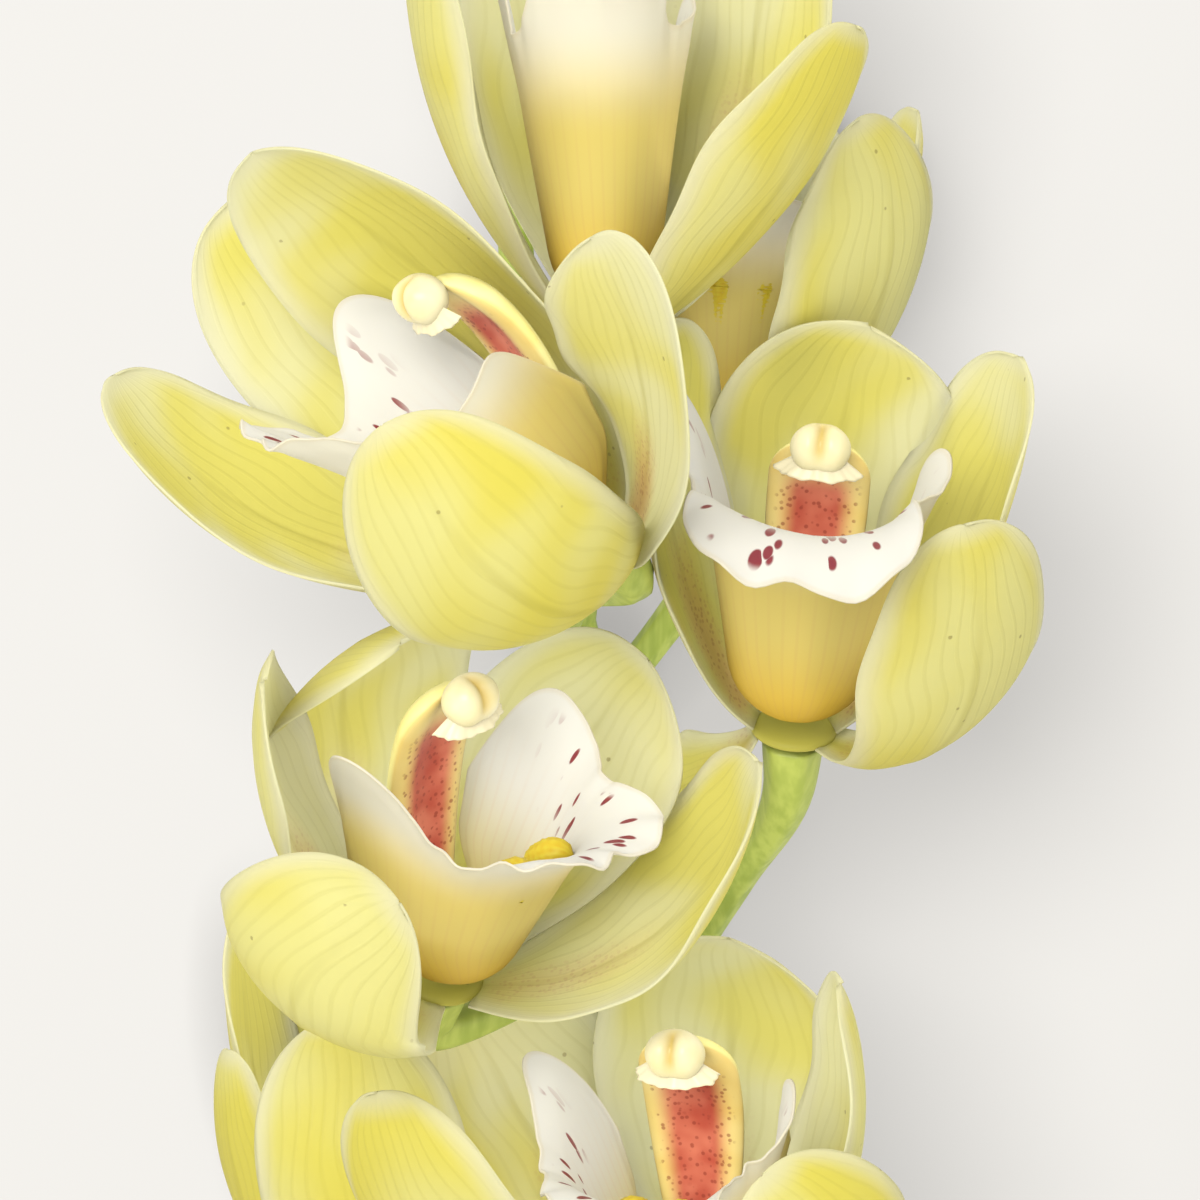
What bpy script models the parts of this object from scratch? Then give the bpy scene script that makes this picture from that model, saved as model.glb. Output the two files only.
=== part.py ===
"""A cut cymbidium orchid stem with seven blooms, lying on a flat surface.

The stem lies along Y with its tip toward +Y, and +Z is up from the surface. Sizes are in millimetres
and become metres where an object is made. A bloom is set by its base, which is the top of its ovary,
and by three directions: forward out of the throat, up to the dorsal sepal, and right.
"""

import math
from collections import namedtuple

import bmesh
import bpy
import numpy as np
from mathutils import Vector

OBJECT_NAME = "cymbidium_stem"
MM = 0.001

# Thickness of every petal, lip and bract
BLADE_THICKNESS = 0.9

# Place of the layout's zero point, so that the origin is under the middle of the stem's box
LAYOUT_SHIFT = np.array([2.32, 103.76, 0.0])

# Points along a line before it is read at even steps, and the lip's own profile
LINE_SAMPLES = 81
PROFILE_SAMPLES = 60

# Rows lie closer together toward an edge by this power, and points nearer than this are welded
EDGE_POWER = 1.6
WELD_DISTANCE = 0.01
SHARP_ANGLE = 55.0

# Tepals: how wide the root is against the widest place, and how far along the widest place lies
TEPAL_ROOT_SHARE = 0.24
TEPAL_WIDEST_AT = 0.58
TEPAL_ROOT_RING = 4.6
SEPAL_ROOT_FORWARD = -0.45
PETAL_ROOT_FORWARD = 0.55
TEPAL_TIP_HALF_WIDTH = 0.5
TEPAL_RISE_POWER = 1.15
TEPAL_TIP_POWER = 2.2
TEPAL_ROOT_CUP_SHARE = 0.55
TEPAL_ROWS = 5
TEPAL_COLUMNS = 4

# The receptacle joins a bloom's tepals at the top of its ovary
RECEPTACLE_RADIUS = 5.8
RECEPTACLE_HALF_HEIGHT = 1.4
RECEPTACLE_SEGMENTS = 10
RECEPTACLE_RINGS = 4

# Lip: a trough round the column with a turned-down middle lobe and two side lobes
LIP_WRAP = 150.0
LIP_WALL_RISE = 0.95
LIP_ROOT_RADIUS = 2.6
LIP_ROOT_FORWARD = 3.0
LIP_ROOT_SLOPE = 62.0
LIP_ROOT_RUN = 8.0
LIP_ROOT_WRAP_SHARE = 0.55
LIP_ROOT_WRAP_RUN = 14.0
LIP_THROAT_REACH = 33.0
LIP_MIDDLE_BREADTH = 42.0
LIP_NOTCH_DEPTH = 2.0
LIP_NOTCH_BREADTH = 7.0
LIP_SIDE_LOBE_ANGLE = 110.0
LIP_SIDE_LOBE_BREADTH = 30.0
LIP_EDGE_START = 100.0
LIP_EDGE_CUT = 0.4
LIP_BEND_START = 22.0
LIP_BEND_LENGTH = 24.0
LIP_FRONT_BREADTH = 60.0
LIP_ROWS = 5
LIP_COLUMNS = 16
LIP_RUFFLE = 0.9
LIP_RUFFLES_PER_TURN = 5

# The lip's two yellow keels, each thin at its root and swollen into a knob at its front end
KEEL_ANGLE = 17.5
KEEL_START = 9.0
KEEL_END = 27.0
KEEL_RADII = (0.9, 1.2, 1.5, 2.0, 2.7, 2.1)
KEEL_LIFT = 0.9
KEEL_SIDES_RESOLUTION = 1

# Column and anther cap
COLUMN_ROOT_FORWARD = 2.7
COLUMN_ROOT_UP = 1.3
COLUMN_ROOT_HALF_WIDTH = 2.4
COLUMN_HALF_WIDTH = 6.1
COLUMN_WIDEST_AT = 0.75
COLUMN_ARCH_UP = 6.0
COLUMN_ARCH_FORWARD = 13.0
COLUMN_END_ARCH_UP = 4.0
COLUMN_END_ARCH_BACK = 12.0
COLUMN_HALF_HEIGHT = 2.0
COLUMN_HALF_HEIGHT_GAIN = 1.0
COLUMN_UNDER_SHARE = 0.55
COLUMN_HOLLOW_DEPTH = 0.5
COLUMN_HOLLOW_BREADTH = 0.6
COLUMN_ROUND_FROM = 0.84
COLUMN_END_SHARE = 0.3
COLUMN_ROWS = 7
COLUMN_COLUMNS = 10
CAP_FORWARD = 3.1
CAP_DROP = 0.3
CAP_LOBE_RADII = (2.5, 3.0, 2.6)
CAP_LOBE_SPREAD = 1.35
CAP_SEGMENTS = 8
CAP_RINGS = 5

# Bloom stalks: the ovary swells toward the bloom, and the stalk meets the flower stem at its foot
OVARY_RADIUS = 3.6
NECK_RADIUS = 3.0
PEDICEL_RADIUS = 2.0
PEDICEL_FOOT_RADIUS = 2.2
OVARY_TOP_GAP = 1.85
STEM_SIDES_RESOLUTION = 3
PEDICEL_SIDES_RESOLUTION = 2
PATH_STEPS = 2

Tepal = namedtuple("Tepal", "near middle tip half_width cup roll twist", defaults=(38.0, 0.0, 0.0))
Lip = namedtuple(
    "Lip",
    "flare middle opening left_side right_side left_lobe right_lobe size width",
    defaults=(90.0, 17.0, 12.0, 22.0, 22.0, 8.0, 8.0, 1.0, 1.0),
)
Bloom = namedtuple("Bloom", "base heading tilt roll tepals lip column_end neck pedicel")
Bract = namedtuple("Bract", "start length side wrap lift")

# Tepal control points are measured from the bloom's base, x right, y up the stem, z off the surface
BLOOMS = {
    1: Bloom(
        base=(0.9, 32.4, 40), heading=92, tilt=12, roll=0,
        tepals={
            "dorsal": Tepal((0, 14, -12), (-2, 38, -16), (-4, 60, -6), 17, 35),
            "left_petal": Tepal((-12, 8, 2), (-28, 26, 8), (-22, 58, 18), 15, 40),
            "right_petal": Tepal((13, 8, -4.5), (20, 34, -7), (20, 60, 7), 15, 30, 20),
            "right_sepal": Tepal((8, 2, 10), (22, 14, 18), (28.6, 34, 20), 13, 35),
            "left_sepal": Tepal((-9, -3, -6), (-17, -1, -14), (-26, 8, -18), 12, 35),
        },
        lip=Lip(
            flare=20, middle=12, left_side=4, right_side=6, right_lobe=3, size=1.1, width=0.71,
        ),
        column_end=(9, 37), neck=8, pedicel=[(-1, 10, 18), (-3, -4, 11)],
    ),
    2: Bloom(
        base=(15.9, 18.8, 15.83), heading=86, tilt=6, roll=0,
        tepals={
            "dorsal": Tepal((0, 10, -13), (2, 34, -20), (5.3, 46, -12), 15, 30),
            "left_petal": Tepal((-9, 8, -3.3), (-16, 26, -6.3), (-14, 42, -3), 12, 35),
            "right_petal": Tepal((11, 7, -3), (22, 24, -3), (23, 41, 4), 12, 35),
            "right_sepal": Tepal((10, 2, 8), (26, 20, 18), (15, 38.8, 20), 15, 40),
            "left_sepal": Tepal((-10, 2, 3), (-19, 10, 5), (-15, 24, 5), 10, 35),
        },
        lip=Lip(flare=30, middle=6, size=0.85, width=0.92),
        column_end=(9, 35), neck=8, pedicel=[(6, -6, 10), (-1, -14, 11)],
    ),
    3: Bloom(
        base=(0.2, 6.1, 54), heading=138, tilt=27, roll=-75,
        tepals={
            "dorsal": Tepal((0, 16, -5), (-20, 34.5, -1), (-40, 45, 14), 16, 40),
            "far_petal": Tepal((-10, 11, -14), (-34, 25, -18), (-44, 41, -9), 15, 30),
            "far_sepal": Tepal((-14, -4, -1), (-44, -4, 1), (-56.6, 20, 3), 16, 35),
            "near_sepal": Tepal((3, -6, 18), (-7, -17, 48), (-24, 13, 43), 15.5, 45),
            "near_petal": Tepal((7, 4, 15), (7, 20, 36), (-1, 34, 37), 14, 28, 20, 60),
        },
        lip=Lip(
            flare=8, opening=13, middle=16, right_side=11, left_lobe=10, right_lobe=2, size=0.94, width=0.88,
        ),
        column_end=(10, 37), neck=4.5, pedicel=[(-2.5, 0.5, 36), (-5, -7, 22), (-1, -22, 11)],
    ),
    4: Bloom(
        base=(23.2, -15.4, 36), heading=86, tilt=28, roll=-5,
        tepals={
            "dorsal": Tepal((2, 14, -10.7), (6, 38, -10.6), (9, 48, 2), 17, 35),
            "left_petal": Tepal((-11, 6, 0.5), (-19, 28, 1.5), (-15.6, 48, 11.5), 15, 32),
            "right_petal": Tepal((9, 5, 0), (24, 20, 4), (26, 44, 12), 15, 35),
            "right_sepal": Tepal((13, -7, 5), (25, -3, 23), (18.5, 24, 29), 14, 42, 0, -20),
            "left_sepal": Tepal((-9, -7, -2), (-15, -9, -5), (-22, -8, -8), 8, 30),
        },
        lip=Lip(flare=95, middle=15, left_side=33, left_lobe=9, right_lobe=2, size=1.08, width=0.94),
        column_end=(7, 35), neck=8, pedicel=[(17, -34, 21), (11, -44, 14), (7, -52, 11)],
    ),
    5: Bloom(
        base=(-18.8, -44.1, 48), heading=76, tilt=38, roll=55,
        tepals={
            "dorsal": Tepal((-10, 10, -8), (-18, 44, -2), (-4, 39, 22), 17, 35),
            "left_petal": Tepal((-12, 8, 6), (-24, 20, 14), (-19, 35, 32), 13, 35),
            "right_petal": Tepal((8, 10, -6), (17, 29, -9), (24.5, 37, -3.5), 15, 30),
            "right_sepal": Tepal((12, -2, 2), (32, 0, 6), (37, 25.5, 16), 17, 30),
            "near_sepal": Tepal((-10, -8, 14), (-27, -5, 42), (-3.6, 10.5, 38), 16, 40),
        },
        lip=Lip(flare=60, middle=9, opening=14, right_side=22, left_lobe=11, right_lobe=4, size=0.95),
        column_end=(7.5, 39), neck=8,
        pedicel=[(-8, -47, 38), (1, -41, 31), (5, -40, 20), (6, -48, 11.5)],
    ),
    6: Bloom(
        base=(12.4, -86.5, 30), heading=100, tilt=38, roll=-20,
        tepals={
            "dorsal": Tepal((4, 16, -10), (4, 40, -8), (3, 46, 6), 17, 35),
            "left_petal": Tepal((-10, 8, -6), (-26, 22, -8.5), (-29, 41, -1.5), 16, 30),
            "right_petal": Tepal((10, 6, 4), (24, 20, 14), (15.5, 41.8, 26), 14, 35),
            "right_sepal": Tepal((10, -8, 10), (28, -2, 40), (6, 21, 42), 15, 40),
            "left_sepal": Tepal((-12, -4, 12), (-34, 0, 31), (-38, 29.6, 30), 15, 35, 30),
        },
        lip=Lip(flare=70, middle=9, left_side=50, left_lobe=6, right_lobe=4, right_side=8),
        column_end=(9, 37), neck=8, pedicel=[(12, -108, 15), (10, -120, 10)],
    ),
    7: Bloom(
        base=(-21, -86.5, 14.245), heading=105, tilt=8, roll=20,
        tepals={
            "dorsal": Tepal((-2, 12, -12), (-8, 34, -18), (-12, 46, -10), 15, 30),
            "left_petal": Tepal((-14, 4, -2.5), (-26, 22, -5), (-23, 50, -2), 11, 35),
            "right_petal": Tepal((9, 6, -3.5), (16, 20, -6), (8, 36, -4), 12, 30),
            "right_sepal": Tepal((-1, -3, 18), (-8, 10, 37.5), (-10, 37, 23.5), 14, 40),
            "left_sepal": Tepal((-14, -4, 6), (-25, 8, 12), (-24, 32, 14), 11, 35),
        },
        lip=Lip(flare=20, middle=6, size=0.79, left_side=8, right_side=4, right_lobe=2, width=0.93),
        column_end=(9, 35), neck=8, pedicel=[(-4, -110, 8), (8, -124, 9)],
    ),
}

# The flower stem's line from its cut end to its tip, with its radius at each point
STALK_POINTS = [
    (16, -300, 4.48), (13, -230, 6.88), (11, -160, 9), (9, -100, 10), (5.9, -41.8, 11),
    (-4, 0.6, 11), (-10, 36, 11), (-10, 62, 11), (-7, 84, 12),
]
STALK_RADII = [4.6, 4.5, 4.3, 4.0, 3.4, 2.8, 2.3, 1.9, 1.4]

# Bracts by their start along the stalk, their length, the side they grow on (0 is right, 90 is up)
# and half the angle they wrap. The long ones sheath the stalk and the short ones sit under a bloom.
BRACTS = [
    Bract(start=14, length=58, side=150, wrap=105, lift=2.2),
    Bract(start=76, length=56, side=20, wrap=100, lift=2.4),
    Bract(start=138, length=30, side=160, wrap=80, lift=3.0),
]
BRACT_RADIUS_OVER_STALK = 0.15
BRACT_TAPER_POWER = 2.5
BRACT_TIP_SHARE = 0.06
BRACT_ROWS = 5
BRACT_COLUMNS = 8

# The small bud at the tip of the stem
BUD_LENGTH = 9.0
BUD_RADIUS = 3.2
BUD_OVERLAP_SHARE = 0.3
BUD_SEGMENTS = 8
BUD_RINGS = 6

# Colours are linear red, green and blue
TEPAL_COLOUR = (0.72, 0.62, 0.18)
LIP_COLOUR = (0.86, 0.76, 0.42)
COLUMN_COLOUR = (0.68, 0.24, 0.10)
CAP_COLOUR = (0.90, 0.85, 0.62)
STEM_COLOUR = (0.30, 0.34, 0.04)


def unit(vector):
    vector = np.asarray(vector, float)
    return vector / np.linalg.norm(vector)


def turned(vector, axis, degrees):
    """The vector turned round an axis."""
    axis = unit(axis)
    cosine = math.cos(math.radians(degrees))
    sine = math.sin(math.radians(degrees))
    return vector * cosine + np.cross(axis, vector) * sine + axis * np.dot(axis, vector) * (1 - cosine)


def bloom_directions(bloom):
    """A bloom's right, up and forward directions."""
    heading, tilt, roll = (math.radians(angle) for angle in (bloom.heading, bloom.tilt, bloom.roll))
    east, north = math.cos(heading), math.sin(heading)
    forward = np.array([east * math.cos(tilt), north * math.cos(tilt), math.sin(tilt)])
    back = np.array([east * math.sin(tilt), north * math.sin(tilt), -math.cos(tilt)])
    left = np.array([-north, east, 0.0])
    up = math.cos(roll) * back + math.sin(roll) * left
    return np.cross(up, forward), up, forward


def placed(points, bloom):
    """Points given in a bloom's right, up and forward directions, as points of the layout."""
    right, up, forward = bloom_directions(bloom)
    return np.array(bloom.base, float) + points @ np.array([right, up, forward])


def bezier(start, near, middle, tip, count):
    t = np.linspace(0, 1, count)[:, None]
    return (1 - t) ** 3 * start + 3 * (1 - t) ** 2 * t * near + 3 * (1 - t) * t * t * middle + t ** 3 * tip


def evenly_spaced(points):
    """The same line with its points at equal distances."""
    steps = np.linalg.norm(np.diff(points, axis=0), axis=1)
    run = np.concatenate([[0], np.cumsum(steps)])
    wanted = np.linspace(0, run[-1], len(points))
    return np.stack([np.interp(wanted, run, points[:, k]) for k in range(3)], axis=1)


def line_frames(points, first_normal):
    """Tangents of a line, and normals carried along it without twist."""
    tangents = np.gradient(points, axis=0)
    tangents /= np.linalg.norm(tangents, axis=1)[:, None]
    normals = np.zeros_like(points)
    normal = np.asarray(first_normal, float)
    for i, tangent in enumerate(tangents):
        normal = unit(normal - np.dot(normal, tangent) * tangent)
        normals[i] = normal
    return tangents, normals


def sampled(values, share):
    """Rows of a table read at a share from 0 to 1 of its length."""
    place = share * (len(values) - 1)
    return np.array([np.interp(place, np.arange(len(values)), values[:, k]) for k in range(values.shape[1])])


def smooth_path(points, radii, steps):
    """Points and radii on a smooth line through the given points."""
    table = np.column_stack([np.array(points, float), np.array(radii, float)])
    spans = np.linalg.norm(np.diff(table[:, :3], axis=0), axis=1)
    knots = np.concatenate([[0], np.cumsum(spans)])
    slopes = np.gradient(table, knots, axis=0)
    rows = []
    for i, span in enumerate(spans):
        for t in np.arange(steps) / steps:
            rows.append(
                (1 + 2 * t) * (1 - t) ** 2 * table[i] + t * (1 - t) ** 2 * span * slopes[i]
                + t * t * (3 - 2 * t) * table[i + 1] - t * t * (1 - t) * span * slopes[i + 1]
            )
    rows.append(table[-1])
    rows = np.array(rows)
    return rows[:, :3], rows[:, 3]


def edge_weighted(count):
    """Shares from 0 to 1 that lie closer together toward 1, where the edges curve most."""
    return 1 - (1 - np.linspace(0, 1, count + 1)) ** EDGE_POWER


def tepal_half_width(tepal, share):
    """Half the width of a tepal: a narrow root, the widest place past the middle, a blunt tip."""
    if share < TEPAL_WIDEST_AT:
        rise = math.sin(0.5 * math.pi * share / TEPAL_WIDEST_AT) ** TEPAL_RISE_POWER
        return tepal.half_width * (TEPAL_ROOT_SHARE + (1 - TEPAL_ROOT_SHARE) * rise)
    past = (share - TEPAL_WIDEST_AT) / (1 - TEPAL_WIDEST_AT)
    fall = max(0.0, 1 - past ** TEPAL_TIP_POWER) ** (1 / TEPAL_TIP_POWER)
    return max(tepal.half_width * fall, TEPAL_TIP_HALF_WIDTH)


def tepal_grid(bloom, tepal, root_forward):
    """A tepal's middle surface: a line from the receptacle to the tip, cupped across."""
    forward = bloom_directions(bloom)[2]
    near, middle, tip = (np.array(point, float) for point in (tepal.near, tepal.middle, tepal.tip))
    outward = unit(near - np.dot(near, forward) * forward)
    start = TEPAL_ROOT_RING * outward + root_forward * forward
    line = evenly_spaced(bezier(start, near, middle, tip, LINE_SAMPLES))
    tangents, normals = line_frames(line, forward)
    grid = []
    for share in edge_weighted(TEPAL_ROWS):
        tangent = unit(sampled(tangents, share))
        normal = turned(unit(sampled(normals, share)), tangent, tepal.roll + tepal.twist * share)
        across = np.cross(tangent, normal)
        middle_share = (1 - TEPAL_ROOT_CUP_SHARE) * math.sin(math.pi * share)
        arc = math.radians(tepal.cup) * (TEPAL_ROOT_CUP_SHARE + middle_share)
        radius = tepal_half_width(tepal, share) / arc
        angles = np.linspace(-arc, arc, TEPAL_COLUMNS + 1)[:, None]
        centre = np.array(bloom.base, float) + sampled(line, share)
        grid.append(centre + radius * np.sin(angles) * across + radius * (1 - np.cos(angles)) * normal)
    return np.array(grid)


def lip_reach(lip, phi):
    """How far the lip runs from its root, at an angle round the throat from its middle."""
    lobe = lip.left_lobe if phi < 0 else lip.right_lobe
    reach = LIP_THROAT_REACH + lip.middle * math.exp(-(phi / LIP_MIDDLE_BREADTH) ** 4)
    notch = LIP_NOTCH_DEPTH * math.exp(-(phi / LIP_NOTCH_BREADTH) ** 2)
    side = lobe * math.exp(-((abs(phi) - LIP_SIDE_LOBE_ANGLE) / LIP_SIDE_LOBE_BREADTH) ** 2)
    edge = max((abs(phi) - LIP_EDGE_START) / (LIP_WRAP - LIP_EDGE_START), 0)
    return (reach - notch + side) * (1 - LIP_EDGE_CUT * edge ** 2)


def lip_profile(lip, phi):
    """The lip's run from root to edge at one angle: distance, radius, forward and slope."""
    reach = lip_reach(lip, phi)
    run = np.linspace(0, reach, PROFILE_SAMPLES)
    front = math.exp(-(phi / LIP_FRONT_BREADTH) ** 2)
    side = lip.left_side if phi < 0 else lip.right_side
    bend = lip.flare * front + side * (1 - front)
    turn = np.clip((run - LIP_BEND_START) / LIP_BEND_LENGTH, 0, 1)
    root_slope = LIP_ROOT_SLOPE * np.clip(1 - run / LIP_ROOT_RUN, 0, 1)
    slope = np.radians(lip.opening + root_slope + bend * turn * turn * (3 - 2 * turn))
    step = run[1]
    radius = LIP_ROOT_RADIUS + np.concatenate([[0], np.cumsum(np.sin(slope[:-1]) * step)])
    forward = LIP_ROOT_FORWARD + np.concatenate([[0], np.cumsum(np.cos(slope[:-1]) * step)])
    return run, radius, forward, slope


def lip_point(lip, phi, run, lift, ruffle):
    """A point of the lip in right, up, forward, lifted off its inner face or ruffled at its edge."""
    runs, radii, forwards, slopes = lip_profile(lip, phi)
    slope = np.interp(run, runs, slopes)
    off = ruffle - lift
    radius = np.interp(run, runs, radii) + off * math.cos(slope)
    forward = np.interp(run, runs, forwards) - off * math.sin(slope)
    gather = min(run / LIP_ROOT_WRAP_RUN, 1)
    angle = phi * (LIP_ROOT_WRAP_SHARE + (1 - LIP_ROOT_WRAP_SHARE) * gather * gather * (3 - 2 * gather))
    if abs(angle) <= 90:
        x = radius * math.sin(math.radians(angle))
        y = -radius * math.cos(math.radians(angle))
    else:
        x = math.copysign(radius, angle)
        y = LIP_WALL_RISE * radius * math.radians(abs(angle) - 90)
    return lip.size * np.array([x * lip.width, y, forward])


def lip_grid(bloom):
    """The lip's middle surface, with its ruffled edge."""
    lip = bloom.lip
    grid = []
    for share in edge_weighted(LIP_ROWS):
        row = []
        for phi in np.linspace(-LIP_WRAP, LIP_WRAP, LIP_COLUMNS + 1):
            ruffle = LIP_RUFFLE * share ** 5 * math.sin(math.radians(phi * LIP_RUFFLES_PER_TURN))
            row.append(lip_point(lip, phi, share * lip_reach(lip, phi), 0, ruffle))
        grid.append(placed(np.array(row), bloom))
    return np.array(grid)


def keel_line(bloom, side):
    """One of the two ridges that run down the lip's inner face."""
    runs = np.linspace(KEEL_START, KEEL_END, len(KEEL_RADII))
    points = [
        lip_point(bloom.lip, side * KEEL_ANGLE, run, KEEL_LIFT * radius, 0)
        for run, radius in zip(runs, KEEL_RADII)
    ]
    return placed(np.array(points), bloom)


def column_grid(bloom):
    """The arched column: a half-round bar that widens forward, with a hollow under side."""
    end_up, end_forward = bloom.column_end
    line = evenly_spaced(bezier(
        np.array([0, COLUMN_ROOT_UP, COLUMN_ROOT_FORWARD]),
        np.array([0, COLUMN_ARCH_UP, COLUMN_ARCH_FORWARD]),
        np.array([0, end_up + COLUMN_END_ARCH_UP, end_forward - COLUMN_END_ARCH_BACK]),
        np.array([0, end_up, end_forward]), LINE_SAMPLES,
    ))
    tangents, normals = line_frames(line, (0, -1, 0))
    grid = []
    for share in edge_weighted(COLUMN_ROWS):
        widening = math.sin(0.5 * math.pi * min(1, share / COLUMN_WIDEST_AT))
        width = COLUMN_ROOT_HALF_WIDTH + (COLUMN_HALF_WIDTH - COLUMN_ROOT_HALF_WIDTH) * widening
        height = COLUMN_HALF_HEIGHT + COLUMN_HALF_HEIGHT_GAIN * share
        past = max(0, share - COLUMN_ROUND_FROM) / (1 - COLUMN_ROUND_FROM)
        rounding = math.sqrt(max(1 - past ** 2, COLUMN_END_SHARE ** 2))
        row = []
        for angle in np.linspace(0, 2 * math.pi, COLUMN_COLUMNS, endpoint=False):
            x = math.cos(angle)
            under = height * math.sin(angle)
            if under > 0:
                hollow = COLUMN_HOLLOW_DEPTH * math.exp(-(x / COLUMN_HOLLOW_BREADTH) ** 2)
                under *= COLUMN_UNDER_SHARE - hollow
            side = np.array([rounding * width * x, 0, 0])
            row.append(sampled(line, share) + side + rounding * sampled(normals, share) * under)
        grid.append(placed(np.array(row), bloom))
    return np.array(grid)


def bract_grid(bract, line, radii):
    """A bract wrapped round the stalk, its tip standing a little off it."""
    tangents, normals = line_frames(line, (1, 0, 0))
    steps = np.linalg.norm(np.diff(line, axis=0), axis=1)
    run = np.concatenate([[0], np.cumsum(steps)])
    grid = []
    for share in edge_weighted(BRACT_ROWS):
        place = np.interp(bract.start + bract.length * share, run, np.linspace(0, 1, len(run)))
        tangent = unit(sampled(tangents, place))
        right = unit(sampled(normals, place))
        above = np.cross(right, tangent)
        radius = sampled(radii[:, None], place)[0] + BRACT_RADIUS_OVER_STALK + bract.lift * share ** 2
        wrap = bract.wrap * max(1 - share ** BRACT_TAPER_POWER, BRACT_TIP_SHARE)
        angles = np.radians(np.linspace(bract.side - wrap, bract.side + wrap, BRACT_COLUMNS + 1))[:, None]
        grid.append(sampled(line, place) + radius * (np.cos(angles) * right + np.sin(angles) * above))
    return np.array(grid)


def new_object(name, mesh):
    obj = bpy.data.objects.new(name, mesh)
    bpy.context.scene.collection.objects.link(obj)
    return obj


def metres(point):
    return (np.asarray(point, float) + LAYOUT_SHIFT) * MM


def grid_faces(rows, columns, wraps):
    """Triangles between neighbouring points of a grid, whose last column may meet its first."""
    faces = []
    for i in range(rows - 1):
        for j in range(columns if wraps else columns - 1):
            a = i * columns + j
            b = i * columns + (j + 1) % columns
            faces.append((a, b, b + columns))
            faces.append((a, b + columns, a + columns))
    return faces


def applied(obj):
    """Replace an object's mesh or curve by the mesh its modifiers make."""
    depsgraph = bpy.context.evaluated_depsgraph_get()
    mesh = bpy.data.meshes.new_from_object(obj.evaluated_get(depsgraph))
    name = obj.name
    matrix = obj.matrix_world.copy()
    bpy.data.objects.remove(obj)
    result = new_object(name, mesh)
    result.matrix_world = matrix
    return result


def blade(name, grid):
    """A thin leaf-like solid: an open grid of triangles thickened evenly on both sides."""
    rows, columns = grid.shape[:2]
    mesh = bpy.data.meshes.new(name)
    mesh.from_pydata(metres(grid.reshape(-1, 3)).tolist(), [], grid_faces(rows, columns, False))
    obj = new_object(name, mesh)
    solidify = obj.modifiers.new("thickness", "SOLIDIFY")
    solidify.thickness = BLADE_THICKNESS * MM
    solidify.offset = 0
    solidify.use_even_offset = True
    return applied(obj)


def loft(name, grid):
    """A closed bar through rings of points, with flat ends."""
    rows, columns = grid.shape[:2]
    faces = grid_faces(rows, columns, True)
    faces.append(tuple(reversed(range(columns))))
    faces.append(tuple(range((rows - 1) * columns, rows * columns)))
    mesh = bpy.data.meshes.new(name)
    mesh.from_pydata(metres(grid.reshape(-1, 3)).tolist(), [], faces)
    obj = new_object(name, mesh)
    point_faces_out(mesh)
    return obj


def point_faces_out(mesh):
    work = bmesh.new()
    work.from_mesh(mesh)
    bmesh.ops.recalc_face_normals(work, faces=work.faces)
    bmesh.ops.triangulate(work, faces=work.faces)
    work.to_mesh(mesh)
    work.free()


def tube(name, points, radii, sides_resolution):
    """A round bar along a line, from a bevelled curve with its caps welded on."""
    curve = bpy.data.curves.new(name, "CURVE")
    curve.dimensions = "3D"
    curve.bevel_depth = MM
    curve.bevel_resolution = sides_resolution
    curve.use_fill_caps = True
    spline = curve.splines.new("POLY")
    spline.points.add(len(points) - 1)
    for point, place, radius in zip(spline.points, points, radii):
        point.co = (*metres(place), 1)
        point.radius = radius
    obj = applied(new_object(name, curve))
    work = bmesh.new()
    work.from_mesh(obj.data)
    bmesh.ops.remove_doubles(work, verts=work.verts, dist=WELD_DISTANCE * MM)
    bmesh.ops.recalc_face_normals(work, faces=work.faces)
    work.to_mesh(obj.data)
    work.free()
    return obj


def ellipsoid(name, centre, directions, radii, segments, rings):
    """A stretched sphere with its axes along three directions."""
    mesh = bpy.data.meshes.new(name)
    work = bmesh.new()
    bmesh.ops.create_uvsphere(work, u_segments=segments, v_segments=rings, radius=1)
    for vertex in work.verts:
        stretched = np.array(radii) * np.array(vertex.co)
        offset = stretched @ np.array(directions)
        vertex.co = Vector(metres(centre + offset))
    bmesh.ops.recalc_face_normals(work, faces=work.faces)
    work.to_mesh(mesh)
    work.free()
    return new_object(name, mesh)


def fused(body, extras, solver):
    """Unite the extras with the body as one solid, and remove them."""
    holder = bpy.data.collections.new(body.name + "_extras")
    bpy.context.scene.collection.children.link(holder)
    for extra in extras:
        holder.objects.link(extra)
    union = body.modifiers.new("union", "BOOLEAN")
    union.operation = "UNION"
    union.operand_type = "COLLECTION"
    union.collection = holder
    union.solver = solver
    result = applied(body)
    for extra in extras:
        bpy.data.objects.remove(extra)
    bpy.data.collections.remove(holder)
    keep_outer_body(result.data)
    return result


def keep_outer_body(mesh):
    """Drop sealed hollows and loose scraps, so that one solid body is left."""
    work = bmesh.new()
    work.from_mesh(mesh)
    bmesh.ops.triangulate(work, faces=work.faces)
    unseen = set(work.faces)
    bodies = []
    while unseen:
        seed = unseen.pop()
        body = [seed]
        for face in body:
            for edge in face.edges:
                for neighbour in edge.link_faces:
                    if neighbour in unseen:
                        unseen.remove(neighbour)
                        body.append(neighbour)
        bodies.append(body)
    bodies.sort(key=len)
    scraps = [face for body in bodies[:-1] for face in body]
    bmesh.ops.delete(work, geom=scraps, context="FACES")
    work.to_mesh(mesh)
    work.free()


def principled(name, colour, roughness):
    material = bpy.data.materials.new(name)
    material.use_nodes = True
    shader = material.node_tree.nodes["Principled BSDF"]
    shader.inputs["Base Color"].default_value = (*colour, 1)
    shader.inputs["Roughness"].default_value = roughness
    shader.inputs["Metallic"].default_value = 0
    return material


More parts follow.
